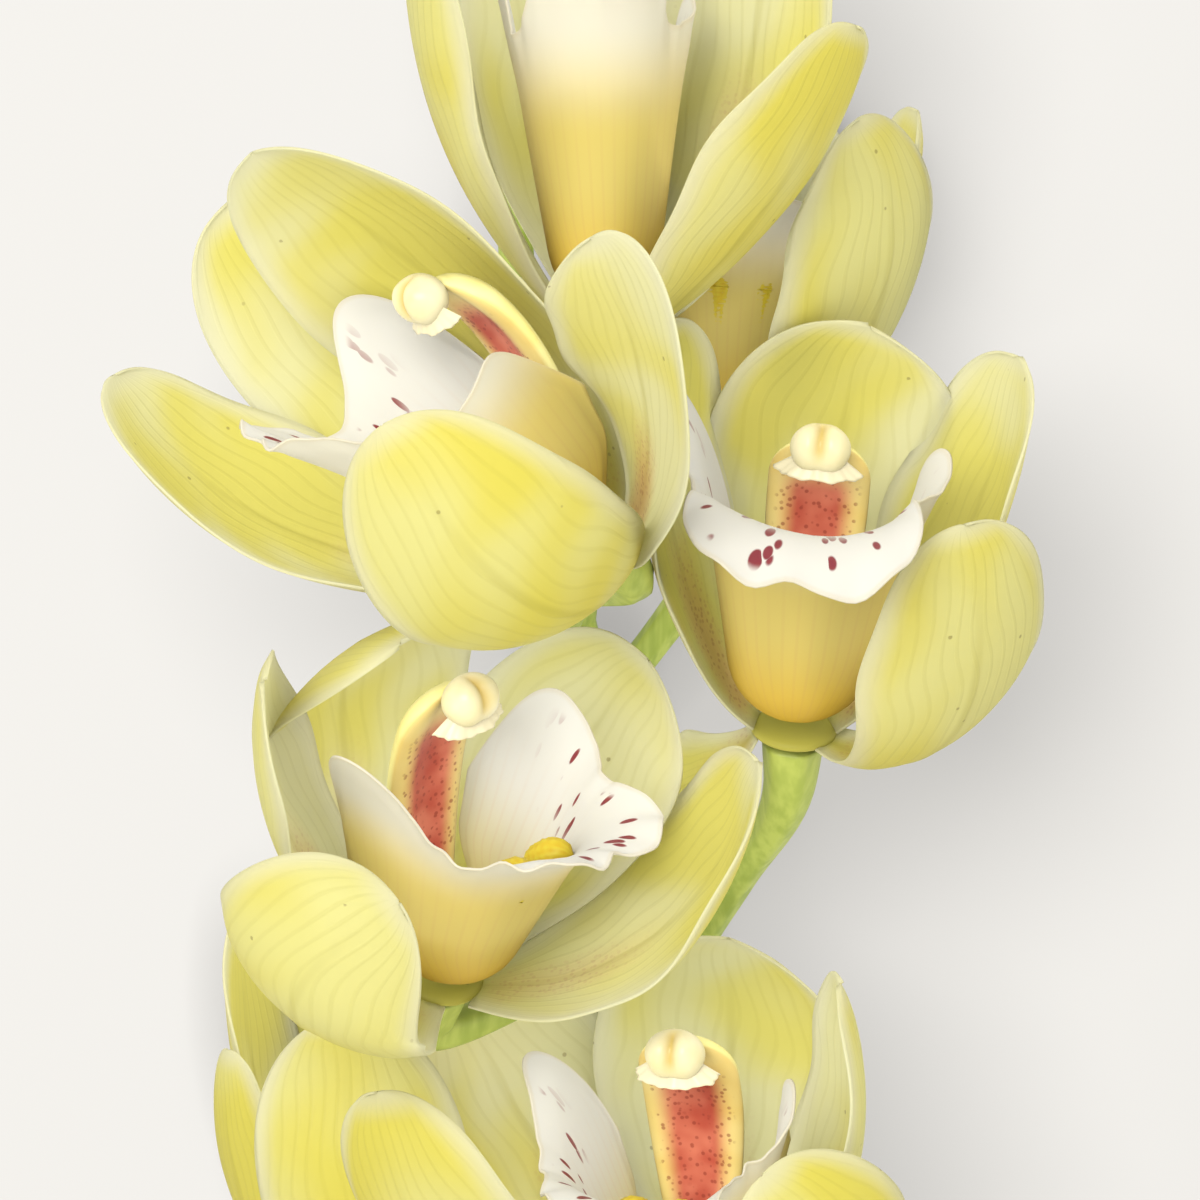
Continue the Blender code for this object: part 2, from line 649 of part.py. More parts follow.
def finish(obj, name, collection, colour, roughness):
    """Name a node, shade it smooth, give it its material and file it with the stem."""
    obj.name = name
    obj.data.name = name
    obj.data.materials.clear()
    obj.data.materials.append(principled(name, colour, roughness))
    obj.data.shade_smooth()
    obj.data.set_sharp_from_angle(angle=math.radians(SHARP_ANGLE))
    bpy.context.scene.collection.objects.unlink(obj)
    collection.objects.link(obj)


def make_tepals(bloom):
    """The receptacle with its three sepals and, a layer further forward, its two petals."""
    directions = bloom_directions(bloom)
    radii = (RECEPTACLE_RADIUS, RECEPTACLE_RADIUS, RECEPTACLE_HALF_HEIGHT)
    base = np.array(bloom.base, float)
    receptacle = ellipsoid("receptacle", base, directions, radii, RECEPTACLE_SEGMENTS, RECEPTACLE_RINGS)
    blades = []
    for name, tepal in bloom.tepals.items():
        root_forward = PETAL_ROOT_FORWARD if name.endswith("petal") else SEPAL_ROOT_FORWARD
        blades.append(blade(name, tepal_grid(bloom, tepal, root_forward)))
    return fused(receptacle, blades, "EXACT")


def make_lip(bloom):
    """The lip with its two keels."""
    keels = [tube("keel", keel_line(bloom, side), KEEL_RADII, KEEL_SIDES_RESOLUTION) for side in (-1, 1)]
    return fused(blade("lip", lip_grid(bloom)), keels, "MANIFOLD")


def make_column(bloom):
    return loft("column", column_grid(bloom))


def make_anther_cap(bloom):
    """The two-lobed cap on the end of the column."""
    end_up, end_forward = bloom.column_end
    lobes = []
    for side in (-1, 1):
        centre = np.array([[side * CAP_LOBE_SPREAD, end_up - CAP_DROP, end_forward + CAP_FORWARD]])
        place = placed(centre, bloom)[0]
        directions = bloom_directions(bloom)
        lobes.append(ellipsoid("cap_lobe", place, directions, CAP_LOBE_RADII, CAP_SEGMENTS, CAP_RINGS))
    return fused(lobes[0], lobes[1:], "EXACT")


def pedicel_path(bloom):
    """A bloom stalk's points and radii, from the top of the ovary down to the flower stem."""
    base = np.array(bloom.base, float)
    forward = bloom_directions(bloom)[2]
    points = [base - OVARY_TOP_GAP * forward, base - bloom.neck * forward, *bloom.pedicel]
    radii = [OVARY_RADIUS, NECK_RADIUS, *[PEDICEL_RADIUS] * (len(bloom.pedicel) - 1), PEDICEL_FOOT_RADIUS]
    return smooth_path(points, radii, PATH_STEPS)


def make_flower_stem():
    """The stalk with its bracts, bud and bloom stalks."""
    line, radii = smooth_path(STALK_POINTS, STALK_RADII, PATH_STEPS)
    stalk = tube("stalk", line, radii, STEM_SIDES_RESOLUTION)
    extras = [tube("pedicel", *pedicel_path(bloom), PEDICEL_SIDES_RESOLUTION) for bloom in BLOOMS.values()]
    extras += [blade("bract", bract_grid(bract, line, radii)) for bract in BRACTS]
    along = unit(line[-1] - line[-2])
    across = unit(np.cross(along, (0, 0, 1)))
    directions = (across, np.cross(along, across), along)
    bud_radii = (BUD_RADIUS, BUD_RADIUS, BUD_LENGTH / 2)
    bud_centre = line[-1] + along * BUD_LENGTH * BUD_OVERLAP_SHARE
    extras.append(ellipsoid("bud", bud_centre, directions, bud_radii, BUD_SEGMENTS, BUD_RINGS))
    return fused(stalk, extras, "EXACT")


def main():
    for obj in list(bpy.data.objects):
        bpy.data.objects.remove(obj)
    collection = bpy.data.collections.new(OBJECT_NAME)
    bpy.context.scene.collection.children.link(collection)
    finish(make_flower_stem(), "flower_stem", collection, STEM_COLOUR, 0.5)
    for number, bloom in BLOOMS.items():
        prefix = f"bloom_{number}_"
        finish(make_tepals(bloom), prefix + "tepals", collection, TEPAL_COLOUR, 0.45)
        finish(make_lip(bloom), prefix + "lip", collection, LIP_COLOUR, 0.5)
        finish(make_column(bloom), prefix + "column", collection, COLUMN_COLOUR, 0.45)
        finish(make_anther_cap(bloom), prefix + "anther_cap", collection, CAP_COLOUR, 0.4)


main()
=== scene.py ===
"""The dressed cymbidium stem, with fine petals, lips, columns, caps and stalk for its plain solids.

Every bloom follows the same lines as the part's own solids, so its sizes and places are repeated
here in millimetres. The camera looks straight down on the stem, which lies on a pale floor.
"""

import math
from collections import namedtuple

import bpy
import numpy as np
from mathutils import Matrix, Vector


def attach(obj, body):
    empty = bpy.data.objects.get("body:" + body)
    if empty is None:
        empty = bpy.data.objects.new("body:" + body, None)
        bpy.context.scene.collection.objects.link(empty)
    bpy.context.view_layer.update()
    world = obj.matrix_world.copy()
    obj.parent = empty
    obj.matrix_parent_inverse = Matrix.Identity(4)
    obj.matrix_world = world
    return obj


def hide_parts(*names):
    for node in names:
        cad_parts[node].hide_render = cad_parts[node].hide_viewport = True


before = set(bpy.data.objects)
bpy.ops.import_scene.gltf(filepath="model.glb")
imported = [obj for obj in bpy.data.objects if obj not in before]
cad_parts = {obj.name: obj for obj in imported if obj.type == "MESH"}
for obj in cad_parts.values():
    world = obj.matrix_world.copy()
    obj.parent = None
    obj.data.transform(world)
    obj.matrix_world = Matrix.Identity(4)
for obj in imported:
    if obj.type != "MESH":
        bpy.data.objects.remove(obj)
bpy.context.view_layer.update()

MM = 0.001
LAYOUT_SHIFT = np.array([2.32, 103.76, 0.0])

# Points along a line before it is read at even steps, and the lip's own profile
LINE_SAMPLES = 81
PROFILE_SAMPLES = 60
EDGE_POWER = 1.6

# Camera: the height of the middle blooms, the distance to them and what the picture shows there
BLOOM_HEIGHT = 48.0
CAMERA_DISTANCE = 700.0
VIEW_WIDTH = 141.2
SENSOR_WIDTH = 36.0

# Tepals
TEPAL_ROOT_SHARE = 0.24
TEPAL_WIDEST_AT = 0.58
TEPAL_ROOT_RING = 4.6
SEPAL_ROOT_FORWARD = -0.45
PETAL_ROOT_FORWARD = 0.55
TEPAL_TIP_HALF_WIDTH = 0.3
TEPAL_RISE_POWER = 1.15
TEPAL_TIP_POWER = 2.2
TEPAL_ROOT_CUP_SHARE = 0.55
TEPAL_THICKNESS = 0.95
TEPAL_EDGE_THICKNESS = 0.3
TEPAL_EDGE_BREADTH = 5.0
TEPAL_TIP_MARGIN = 60.0
TEPAL_WAVE = 0.55
TEPAL_WAVE_POWER = 4
TEPAL_WAVE_TURNS = 14.0
TEPAL_WAVE_FROM = (0.1, 0.5)
TEPAL_WAVE_PHASE = 2.1
TEPAL_WAVE_SIDE_PHASE = 1.3
MIDRIB_DEPTH = 0.35
MIDRIB_BREADTH = 0.06
TEPAL_ROWS = 64
TEPAL_COLUMNS = 32
VEINS_EACH_SIDE = 7.0
SEPAL_BLUSH = 0.35
RECEPTACLE_RADIUS = 5.2
RECEPTACLE_HALF_HEIGHT = 1.3
RECEPTACLE_RINGS = 12
RECEPTACLE_SEGMENTS = 32
RECEPTACLE_MARGIN = 5.0
RECEPTACLE_PATCH = 0.3

# Lip
LIP_WRAP = 150.0
LIP_WALL_RISE = 0.95
LIP_ROOT_RADIUS = 2.6
LIP_ROOT_FORWARD = 3.0
LIP_ROOT_SLOPE = 62.0
LIP_ROOT_RUN = 8.0
LIP_ROOT_WRAP_SHARE = 0.55
LIP_ROOT_WRAP_RUN = 14.0
LIP_THROAT_REACH = 33.0
LIP_MIDDLE_BREADTH = 42.0
LIP_NOTCH_DEPTH = 2.0
LIP_NOTCH_BREADTH = 7.0
LIP_SIDE_LOBE_ANGLE = 110.0
LIP_SIDE_LOBE_BREADTH = 30.0
LIP_EDGE_START = 100.0
LIP_EDGE_CUT = 0.4
LIP_BEND_START = 22.0
LIP_BEND_LENGTH = 24.0
LIP_FRONT_BREADTH = 60.0
LIP_THICKNESS = 0.9
LIP_EDGE_THICKNESS = 0.3
LIP_ROWS = 56
LIP_COLUMNS = 150
LIP_VEINS_EACH_SIDE = 16.0
LIP_DASHES_EACH_SIDE = 30.0
LIP_DASH_PITCH = 4.6
LIP_RUFFLE = 0.9
LIP_RUFFLE_POWER = 5
LIP_RUFFLES_PER_TURN = 5
LIP_CRISP_BREADTH = 70.0
LIP_CRISP_POWER = 16
LIP_CRISP_WAVES = ((0.5, 17), (0.3, 29))
LIP_EDGE_BREADTH = 5.0
LIP_MM_PER_DEGREE = 0.35

# The lip's two keels
KEEL_ANGLE = 17.5
KEEL_START = 9.0
KEEL_END = 27.5
KEEL_RADII = (0.9, 1.2, 1.5, 2.0, 2.7, 2.4)
KEEL_LIFT = 0.9
KEEL_END_POWER = 8
KEEL_END_FLOOR = 0.01
KEEL_ROWS = 60
KEEL_COLUMNS = 32
KEEL_WART_SHARE = 0.07
KEEL_WARTS_AROUND = (9, 4)
KEEL_WARTS_ALONG = (70, 83)
KEEL_MARGIN = 10.0

# Column and anther cap
COLUMN_ROOT_FORWARD = 2.7
COLUMN_ROOT_UP = 1.3
COLUMN_ROOT_HALF_WIDTH = 2.4
COLUMN_HALF_WIDTH = 6.1
COLUMN_WIDEST_AT = 0.75
COLUMN_ARCH_UP = 6.0
COLUMN_ARCH_FORWARD = 13.0
COLUMN_END_ARCH_UP = 4.0
COLUMN_END_ARCH_BACK = 12.0
COLUMN_HALF_HEIGHT = 2.0
COLUMN_HALF_HEIGHT_GAIN = 1.0
COLUMN_UNDER_SHARE = 0.55
COLUMN_HOLLOW_DEPTH = 0.5
COLUMN_HOLLOW_BREADTH = 0.6
COLUMN_ROUND_FROM = 0.84
COLUMN_END_SHARE = 0.3
COLUMN_SHAFT_END = 0.9
COLUMN_END_START = 0.905
COLUMN_SHAFT_ROWS = 40
COLUMN_END_ROWS = 9
COLUMN_COLUMNS = 48
CAP_FORWARD = 0.4
CAP_DROP = 2.4
CAP_RADII = (3.6, 2.8, 3.0)
CAP_RINGS = 32
CAP_SEGMENTS = 48
CAP_LOBE_GAIN = 0.12
CAP_LOBE_AT = 0.5
CAP_LOBE_BREADTH = 0.35
CAP_GROOVE_DEPTH = 0.2
CAP_GROOVE_BREADTH = 0.2
FLAP_ROWS = 9
FLAP_COLUMNS = 60
FLAP_THICKNESS = 0.35
FLAP_WIDTH_SHARE = 1.15
FLAP_DEPTH_SHARE = 0.85
FLAP_START = 0.7
FLAP_REACH = 0.55
FLAP_BACK = (0.45, 0.55)

# Stalks
OVARY_RADIUS = 3.6
NECK_RADIUS = 3.0
PEDICEL_RADIUS = 2.0
PEDICEL_FOOT_RADIUS = 2.2
PEDICEL_COLUMNS = 24
PEDICEL_RIDGES = 6
PEDICEL_RIDGE_DEPTH = 0.05
OVARY_TOP_GAP = 1.85
STALK_COLUMNS = 40
STALK_RIDGES = 7
STALK_RIDGE_DEPTH = 0.025
CUT_END_SHARE = 0.86
PATH_STEPS = 10

Tepal = namedtuple("Tepal", "near middle tip half_width cup roll twist", defaults=(38.0, 0.0, 0.0))
Lip = namedtuple(
    "Lip",
    "flare middle opening left_side right_side left_lobe right_lobe size width",
    defaults=(90.0, 17.0, 12.0, 22.0, 22.0, 8.0, 8.0, 1.0, 1.0),
)
Bloom = namedtuple("Bloom", "base heading tilt roll tepals lip column_end neck pedicel")
Bract = namedtuple("Bract", "start length side wrap lift")

# Tepal control points are measured from the bloom's base, x right, y up the stem, z off the floor
BLOOMS = {
    1: Bloom(
        base=(0.9, 32.4, 40), heading=92, tilt=12, roll=0,
        tepals={
            "dorsal": Tepal((0, 14, -12), (-2, 38, -16), (-4, 60, -6), 17, 35),
            "left_petal": Tepal((-12, 8, 2), (-28, 26, 8), (-22, 58, 18), 15, 40),
            "right_petal": Tepal((13, 8, -4.5), (20, 34, -7), (20, 60, 7), 15, 30, 20),
            "right_sepal": Tepal((8, 2, 10), (22, 14, 18), (28.6, 34, 20), 13, 35),
            "left_sepal": Tepal((-9, -3, -6), (-17, -1, -14), (-26, 8, -18), 12, 35),
        },
        lip=Lip(
            flare=20, middle=12, left_side=4, right_side=6, right_lobe=3, size=1.1, width=0.71,
        ),
        column_end=(9, 37), neck=8, pedicel=[(-1, 10, 18), (-3, -4, 11)],
    ),
    2: Bloom(
        base=(15.9, 18.8, 15.83), heading=86, tilt=6, roll=0,
        tepals={
            "dorsal": Tepal((0, 10, -13), (2, 34, -20), (5.3, 46, -12), 15, 30),
            "left_petal": Tepal((-9, 8, -3.3), (-16, 26, -6.3), (-14, 42, -3), 12, 35),
            "right_petal": Tepal((11, 7, -3), (22, 24, -3), (23, 41, 4), 12, 35),
            "right_sepal": Tepal((10, 2, 8), (26, 20, 18), (15, 38.8, 20), 15, 40),
            "left_sepal": Tepal((-10, 2, 3), (-19, 10, 5), (-15, 24, 5), 10, 35),
        },
        lip=Lip(flare=30, middle=6, size=0.85, width=0.92),
        column_end=(9, 35), neck=8, pedicel=[(6, -6, 10), (-1, -14, 11)],
    ),
    3: Bloom(
        base=(0.2, 6.1, 54), heading=138, tilt=27, roll=-75,
        tepals={
            "dorsal": Tepal((0, 16, -5), (-20, 34.5, -1), (-40, 45, 14), 16, 40),
            "far_petal": Tepal((-10, 11, -14), (-34, 25, -18), (-44, 41, -9), 15, 30),
            "far_sepal": Tepal((-14, -4, -1), (-44, -4, 1), (-56.6, 20, 3), 16, 35),
            "near_sepal": Tepal((3, -6, 18), (-7, -17, 48), (-24, 13, 43), 15.5, 45),
            "near_petal": Tepal((7, 4, 15), (7, 20, 36), (-1, 34, 37), 14, 28, 20, 60),
        },
        lip=Lip(
            flare=8, opening=13, middle=16, right_side=11, left_lobe=10, right_lobe=2,
            size=0.94, width=0.88,
        ),
        column_end=(10, 37), neck=4.5, pedicel=[(-2.5, 0.5, 36), (-5, -7, 22), (-1, -22, 11)],
    ),
    4: Bloom(
        base=(23.2, -15.4, 36), heading=86, tilt=28, roll=-5,
        tepals={
            "dorsal": Tepal((2, 14, -10.7), (6, 38, -10.6), (9, 48, 2), 17, 35),
            "left_petal": Tepal((-11, 6, 0.5), (-19, 28, 1.5), (-15.6, 48, 11.5), 15, 32),
            "right_petal": Tepal((9, 5, 0), (24, 20, 4), (26, 44, 12), 15, 35),
            "right_sepal": Tepal((13, -7, 5), (25, -3, 23), (18.5, 24, 29), 14, 42, 0, -20),
            "left_sepal": Tepal((-9, -7, -2), (-15, -9, -5), (-22, -8, -8), 8, 30),
        },
        lip=Lip(
            flare=95, middle=15, left_side=33, left_lobe=9, right_lobe=2, size=1.08, width=0.94,
        ),
        column_end=(7, 35), neck=8, pedicel=[(17, -34, 21), (11, -44, 14), (7, -52, 11)],
    ),
    5: Bloom(
        base=(-18.8, -44.1, 48), heading=76, tilt=38, roll=55,
        tepals={
            "dorsal": Tepal((-10, 10, -8), (-18, 44, -2), (-4, 39, 22), 17, 35),
            "left_petal": Tepal((-12, 8, 6), (-24, 20, 14), (-19, 35, 32), 13, 35),
            "right_petal": Tepal((8, 10, -6), (17, 29, -9), (24.5, 37, -3.5), 15, 30),
            "right_sepal": Tepal((12, -2, 2), (32, 0, 6), (37, 25.5, 16), 17, 30),
            "near_sepal": Tepal((-10, -8, 14), (-27, -5, 42), (-3.6, 10.5, 38), 16, 40),
        },
        lip=Lip(
            flare=60, middle=9, opening=14, right_side=22, left_lobe=11, right_lobe=4, size=0.95,
        ),
        column_end=(7.5, 39), neck=8,
        pedicel=[(-8, -47, 38), (1, -41, 31), (5, -40, 20), (6, -48, 11.5)],
    ),
    6: Bloom(
        base=(12.4, -86.5, 30), heading=100, tilt=38, roll=-20,
        tepals={
            "dorsal": Tepal((4, 16, -10), (4, 40, -8), (3, 46, 6), 17, 35),
            "left_petal": Tepal((-10, 8, -6), (-26, 22, -8.5), (-29, 41, -1.5), 16, 30),
            "right_petal": Tepal((10, 6, 4), (24, 20, 14), (15.5, 41.8, 26), 14, 35),
            "right_sepal": Tepal((10, -8, 10), (28, -2, 40), (6, 21, 42), 15, 40),
            "left_sepal": Tepal((-12, -4, 12), (-34, 0, 31), (-38, 29.6, 30), 15, 35, 30),
        },
        lip=Lip(flare=70, middle=9, left_side=50, left_lobe=6, right_lobe=4, right_side=8),
        column_end=(9, 37), neck=8, pedicel=[(12, -108, 15), (10, -120, 10)],
    ),
    7: Bloom(
        base=(-21, -86.5, 14.245), heading=105, tilt=8, roll=20,
        tepals={
            "dorsal": Tepal((-2, 12, -12), (-8, 34, -18), (-12, 46, -10), 15, 30),
            "left_petal": Tepal((-14, 4, -2.5), (-26, 22, -5), (-23, 50, -2), 11, 35),
            "right_petal": Tepal((9, 6, -3.5), (16, 20, -6), (8, 36, -4), 12, 30),
            "right_sepal": Tepal((-1, -3, 18), (-8, 10, 37.5), (-10, 37, 23.5), 14, 40),
            "left_sepal": Tepal((-14, -4, 6), (-25, 8, 12), (-24, 32, 14), 11, 35),
        },
        lip=Lip(flare=20, middle=6, size=0.79, left_side=8, right_side=4, right_lobe=2, width=0.93),
        column_end=(9, 35), neck=8, pedicel=[(-4, -110, 8), (8, -124, 9)],
    ),
}

# The flower stem's line from its cut end to its tip, with its radius at each point
STALK_POINTS = [
    (16, -300, 4.48), (13, -230, 6.88), (11, -160, 9), (9, -100, 10), (5.9, -41.8, 11),
    (-4, 0.6, 11), (-10, 36, 11), (-10, 62, 11), (-7, 84, 12),
]
STALK_RADII = [4.6, 4.5, 4.3, 4.0, 3.4, 2.8, 2.3, 1.9, 1.4]

# Bracts by their start along the stalk, their length, the side they grow on (0 is right, 90 is up)
# and half the angle they wrap. Two long ones sheath the stalk and a short one sits above them.
BRACTS = [
    Bract(start=14, length=58, side=150, wrap=105, lift=2.2),
    Bract(start=76, length=56, side=20, wrap=100, lift=2.4),
    Bract(start=138, length=30, side=160, wrap=80, lift=3.0),
]
BRACT_OVER_STALK = 0.15
BRACT_TAPER_POWER = 2.5
BRACT_TIP_SHARE = 0.03
BRACT_THICKNESS = 0.5
BRACT_ROWS = 40
BRACT_COLUMNS = 32
BRACT_VEINS_EACH_SIDE = 12.0
BUD_LENGTH = 9.0
BUD_RADIUS = 3.2
BUD_OVERLAP_SHARE = 0.3
BUD_RINGS = 24
BUD_SEGMENTS = 32
BUD_GREEN_SHARE = 0.6

# Tissue: how much light comes through, and the size of veins, speckles, dots and streaks
PETAL_CLEARNESS = 0.6
LIP_CLEARNESS = 0.45
VEIN_RELIEF = 0.0002
STALK_RELIEF = 0.0003
SPECKLES_PER_METRE = 1500
DOTS_PER_METRE = 1400
STREAKS_PER_METRE = 700
STREAK_STRETCH = 0.05

# Studio, in metres
FLOOR_SIZE = 4.0
SURROUND_STRENGTH = 0.66
FILL_REACH = 0.012
FILL_STRENGTH = 1.75
BOUNCES = 4
KEY_POWER = 19.0
KEY_SIZE = 1.0
KEY_OFFSET = (-0.4, 0.35, 1.5)


def unit(vector):
    vector = np.asarray(vector, float)
    return vector / np.linalg.norm(vector)


def units(vectors):
    """Each vector of a table brought to length 1."""
    return vectors / np.maximum(np.linalg.norm(vectors, axis=-1, keepdims=True), 1e-9)


def bloom_directions(bloom):
    """A bloom's right, up and forward directions."""
    heading, tilt, roll = (math.radians(angle) for angle in (bloom.heading, bloom.tilt, bloom.roll))
    east, north = math.cos(heading), math.sin(heading)
    forward = np.array([east * math.cos(tilt), north * math.cos(tilt), math.sin(tilt)])
    back = np.array([east * math.sin(tilt), north * math.sin(tilt), -math.cos(tilt)])
    left = np.array([-north, east, 0.0])
    up = math.cos(roll) * back + math.sin(roll) * left
    return np.cross(up, forward), up, forward


def placed(points, bloom):
    """Points given in a bloom's right, up and forward directions, as points of the layout."""
    right, up, forward = bloom_directions(bloom)
    return np.array(bloom.base, float) + points @ np.array([right, up, forward])


def smoothstep(low, high, value):
    """0 at low, 1 at high, and a smooth rise between them."""
    t = np.clip((value - low) / (high - low), 0, 1)
    return t * t * (3 - 2 * t)


def bezier(start, near, middle, tip, count):
    t = np.linspace(0, 1, count)[:, None]
    return (
        (1 - t) ** 3 * start + 3 * (1 - t) ** 2 * t * near
        + 3 * (1 - t) * t * t * middle + t ** 3 * tip
    )


def evenly_spaced(points):
    """The same line with its points at equal distances."""
    steps = np.linalg.norm(np.diff(points, axis=0), axis=1)
    run = np.concatenate([[0], np.cumsum(steps)])
    wanted = np.linspace(0, run[-1], len(points))
    return np.stack([np.interp(wanted, run, points[:, k]) for k in range(3)], axis=1)


def line_frames(points, first_normal):
    """Tangents of a line, and normals carried along it without twist."""
    tangents = units(np.gradient(points, axis=0))
    normals = np.zeros_like(points)
    normal = np.asarray(first_normal, float)
    for i, tangent in enumerate(tangents):
        normal = unit(normal - np.dot(normal, tangent) * tangent)
        normals[i] = normal
    return tangents, normals


def sampled(values, shares):
    """Rows of a table read at shares from 0 to 1 of its length."""
    place = np.asarray(shares) * (len(values) - 1)
    marks = np.arange(len(values))
    columns = [np.interp(place, marks, values[:, k]) for k in range(values.shape[1])]
    return np.stack(columns, axis=-1)


def smooth_path(points, radii, steps):
    """Points and radii on a smooth line through the given points."""
    table = np.column_stack([np.array(points, float), np.array(radii, float)])
    spans = np.linalg.norm(np.diff(table[:, :3], axis=0), axis=1)
    knots = np.concatenate([[0], np.cumsum(spans)])
    slopes = np.gradient(table, knots, axis=0)
    rows = []
    for i, span in enumerate(spans):
        for t in np.arange(steps) / steps:
            rows.append(
                (1 + 2 * t) * (1 - t) ** 2 * table[i] + t * (1 - t) ** 2 * span * slopes[i]
                + t * t * (3 - 2 * t) * table[i + 1] - t * t * (1 - t) * span * slopes[i + 1]
            )
    rows.append(table[-1])
    rows = np.array(rows)
    return rows[:, :3], rows[:, 3]


def edge_weighted(count):
    """Shares from 0 to 1 that lie closer together toward 1, where the edges curve most."""
    return 1 - (1 - np.linspace(0, 1, count + 1)) ** EDGE_POWER


class Skin:
    """Points, faces and named values of one piece, gathered from several surfaces."""

    def __init__(self):
        self.points = []
        self.faces = []
        self.values = {}
        self.count = 0

    def add(self, points, faces, **values):
        """One surface: its points, its faces, and a number at each point for each named value."""
        self.points.append(points.reshape(-1, 3))
        self.faces += [tuple(index + self.count for index in face) for face in faces]
        size = points.reshape(-1, 3).shape[0]
        for name, value in values.items():
            flat = np.broadcast_to(np.asarray(value, float), points.shape[:-1]).reshape(-1)
            self.values.setdefault(name, [np.zeros(self.count)]).append(flat)
        for name in self.values:
            if name not in values:
                self.values[name].append(np.zeros(size))
        self.count += size

    def sheet(self, middle, thickness, **values):
        """A thin closed sheet round a middle surface, thick as told at each of its points."""
        rows, columns = middle.shape[:2]
        normals = units(np.cross(np.gradient(middle, axis=1), np.gradient(middle, axis=0)))
        half = np.asarray(thickness)[..., None] / 2
        both = np.stack([middle + normals * half, middle - normals * half])
        front = grid_faces(rows, columns, False)
        size = rows * columns
        back = [tuple(index + size for index in reversed(face)) for face in front]
        ring = list(range(columns))
        ring += [i * columns + columns - 1 for i in range(1, rows)]
        ring += [(rows - 1) * columns + j for j in range(columns - 2, -1, -1)]
        ring += [i * columns for i in range(rows - 2, 0, -1)]
        rim = [(b, a, a + size, b + size) for a, b in zip(ring, ring[1:] + ring[:1])]
        doubled = {name: np.stack([value, value]) for name, value in values.items()}
        side = np.stack([np.ones((rows, columns)), np.zeros((rows, columns))])
        self.add(both, front + back + rim, inner=side, **doubled)

    def bar(self, rings, **values):
        """A closed bar through rings of points."""
        rows, columns = rings.shape[:2]
        faces = grid_faces(rows, columns, True)
        faces.append(tuple(reversed(range(columns))))
        faces.append(tuple(range((rows - 1) * columns, rows * columns)))
        self.add(rings, faces, **values)

    def make(self, name, material, node):
        """The piece itself, in metres, in place of a node of the frame."""
        mesh = bpy.data.meshes.new(name)
        points = (np.concatenate(self.points) + LAYOUT_SHIFT) * MM
        mesh.from_pydata(points.tolist(), [], self.faces)
        for title, parts in self.values.items():
            layer = mesh.attributes.new(title, "FLOAT", "POINT")
            layer.data.foreach_set("value", np.concatenate(parts))
        mesh.shade_smooth()
        mesh.materials.append(material)
        piece = bpy.data.objects.new(name, mesh)
        bpy.context.scene.collection.objects.link(piece)
        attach(piece, "root")
        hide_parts(node)


def grid_faces(rows, columns, wraps):
    """Quads between neighbouring points of a grid, whose last column may meet its first."""
    faces = []
    for i in range(rows - 1):
        for j in range(columns if wraps else columns - 1):
            a = i * columns + j
            b = i * columns + (j + 1) % columns
            faces.append((a, b, b + columns, a + columns))
    return faces


def tepal_half_width(tepal, share):
    """Half the width of a tepal: a narrow root, the widest place past the middle, a blunt tip."""
    rise = np.sin(0.5 * math.pi * np.clip(share / TEPAL_WIDEST_AT, 0, 1)) ** TEPAL_RISE_POWER
    swelling = TEPAL_ROOT_SHARE + (1 - TEPAL_ROOT_SHARE) * rise
    past = np.clip((share - TEPAL_WIDEST_AT) / (1 - TEPAL_WIDEST_AT), 0, 1)
    fall = np.clip(1 - past ** TEPAL_TIP_POWER, 0, 1) ** (1 / TEPAL_TIP_POWER)
    width = tepal.half_width * np.where(share < TEPAL_WIDEST_AT, swelling, fall)
    return np.maximum(width, TEPAL_TIP_HALF_WIDTH)


def tepal_surface(bloom, tepal, root_forward, number):
    """A tepal's middle surface, cupped across, with a soft wave along its margins."""
    forward = bloom_directions(bloom)[2]
    near, middle, tip = (np.array(point, float) for point in (tepal.near, tepal.middle, tepal.tip))
    outward = unit(near - np.dot(near, forward) * forward)
    start = TEPAL_ROOT_RING * outward + root_forward * forward
    line = evenly_spaced(bezier(start, near, middle, tip, LINE_SAMPLES))
    tangents, normals = line_frames(line, forward)
    along = edge_weighted(TEPAL_ROWS)
    tangent = units(sampled(tangents, along))
    normal = units(sampled(normals, along))
    turn = np.radians(tepal.roll + tepal.twist * along)[:, None]
    normal = normal * np.cos(turn) + np.cross(tangent, normal) * np.sin(turn)
    sideways = np.cross(tangent, normal)
    middle_share = (1 - TEPAL_ROOT_CUP_SHARE) * np.sin(math.pi * along)
    arc = np.radians(tepal.cup) * (TEPAL_ROOT_CUP_SHARE + middle_share)
    half = tepal_half_width(tepal, along)
    across = np.linspace(-1, 1, TEPAL_COLUMNS + 1)
    angles = arc[:, None] * across[None, :]
    radius = (half / arc)[:, None]
    x = radius * np.sin(angles)
    y = radius * (1 - np.cos(angles))
    phase = TEPAL_WAVE_PHASE * number + TEPAL_WAVE_SIDE_PHASE * np.sign(across)[None, :]
    body = smoothstep(*TEPAL_WAVE_FROM, along)[:, None]
    wave = TEPAL_WAVE * body * np.abs(across)[None, :] ** TEPAL_WAVE_POWER
    y = y + wave * np.sin(TEPAL_WAVE_TURNS * along[:, None] + phase)
    groove = np.exp(-(across[None, :] / MIDRIB_BREADTH) ** 2) * (1 - along[:, None])
    y = y - MIDRIB_DEPTH * body * groove
    place = np.array(bloom.base, float) + sampled(line, along)
    surface = place[:, None] + sideways[:, None] * x[..., None] + normal[:, None] * y[..., None]
    return surface, along, across, half


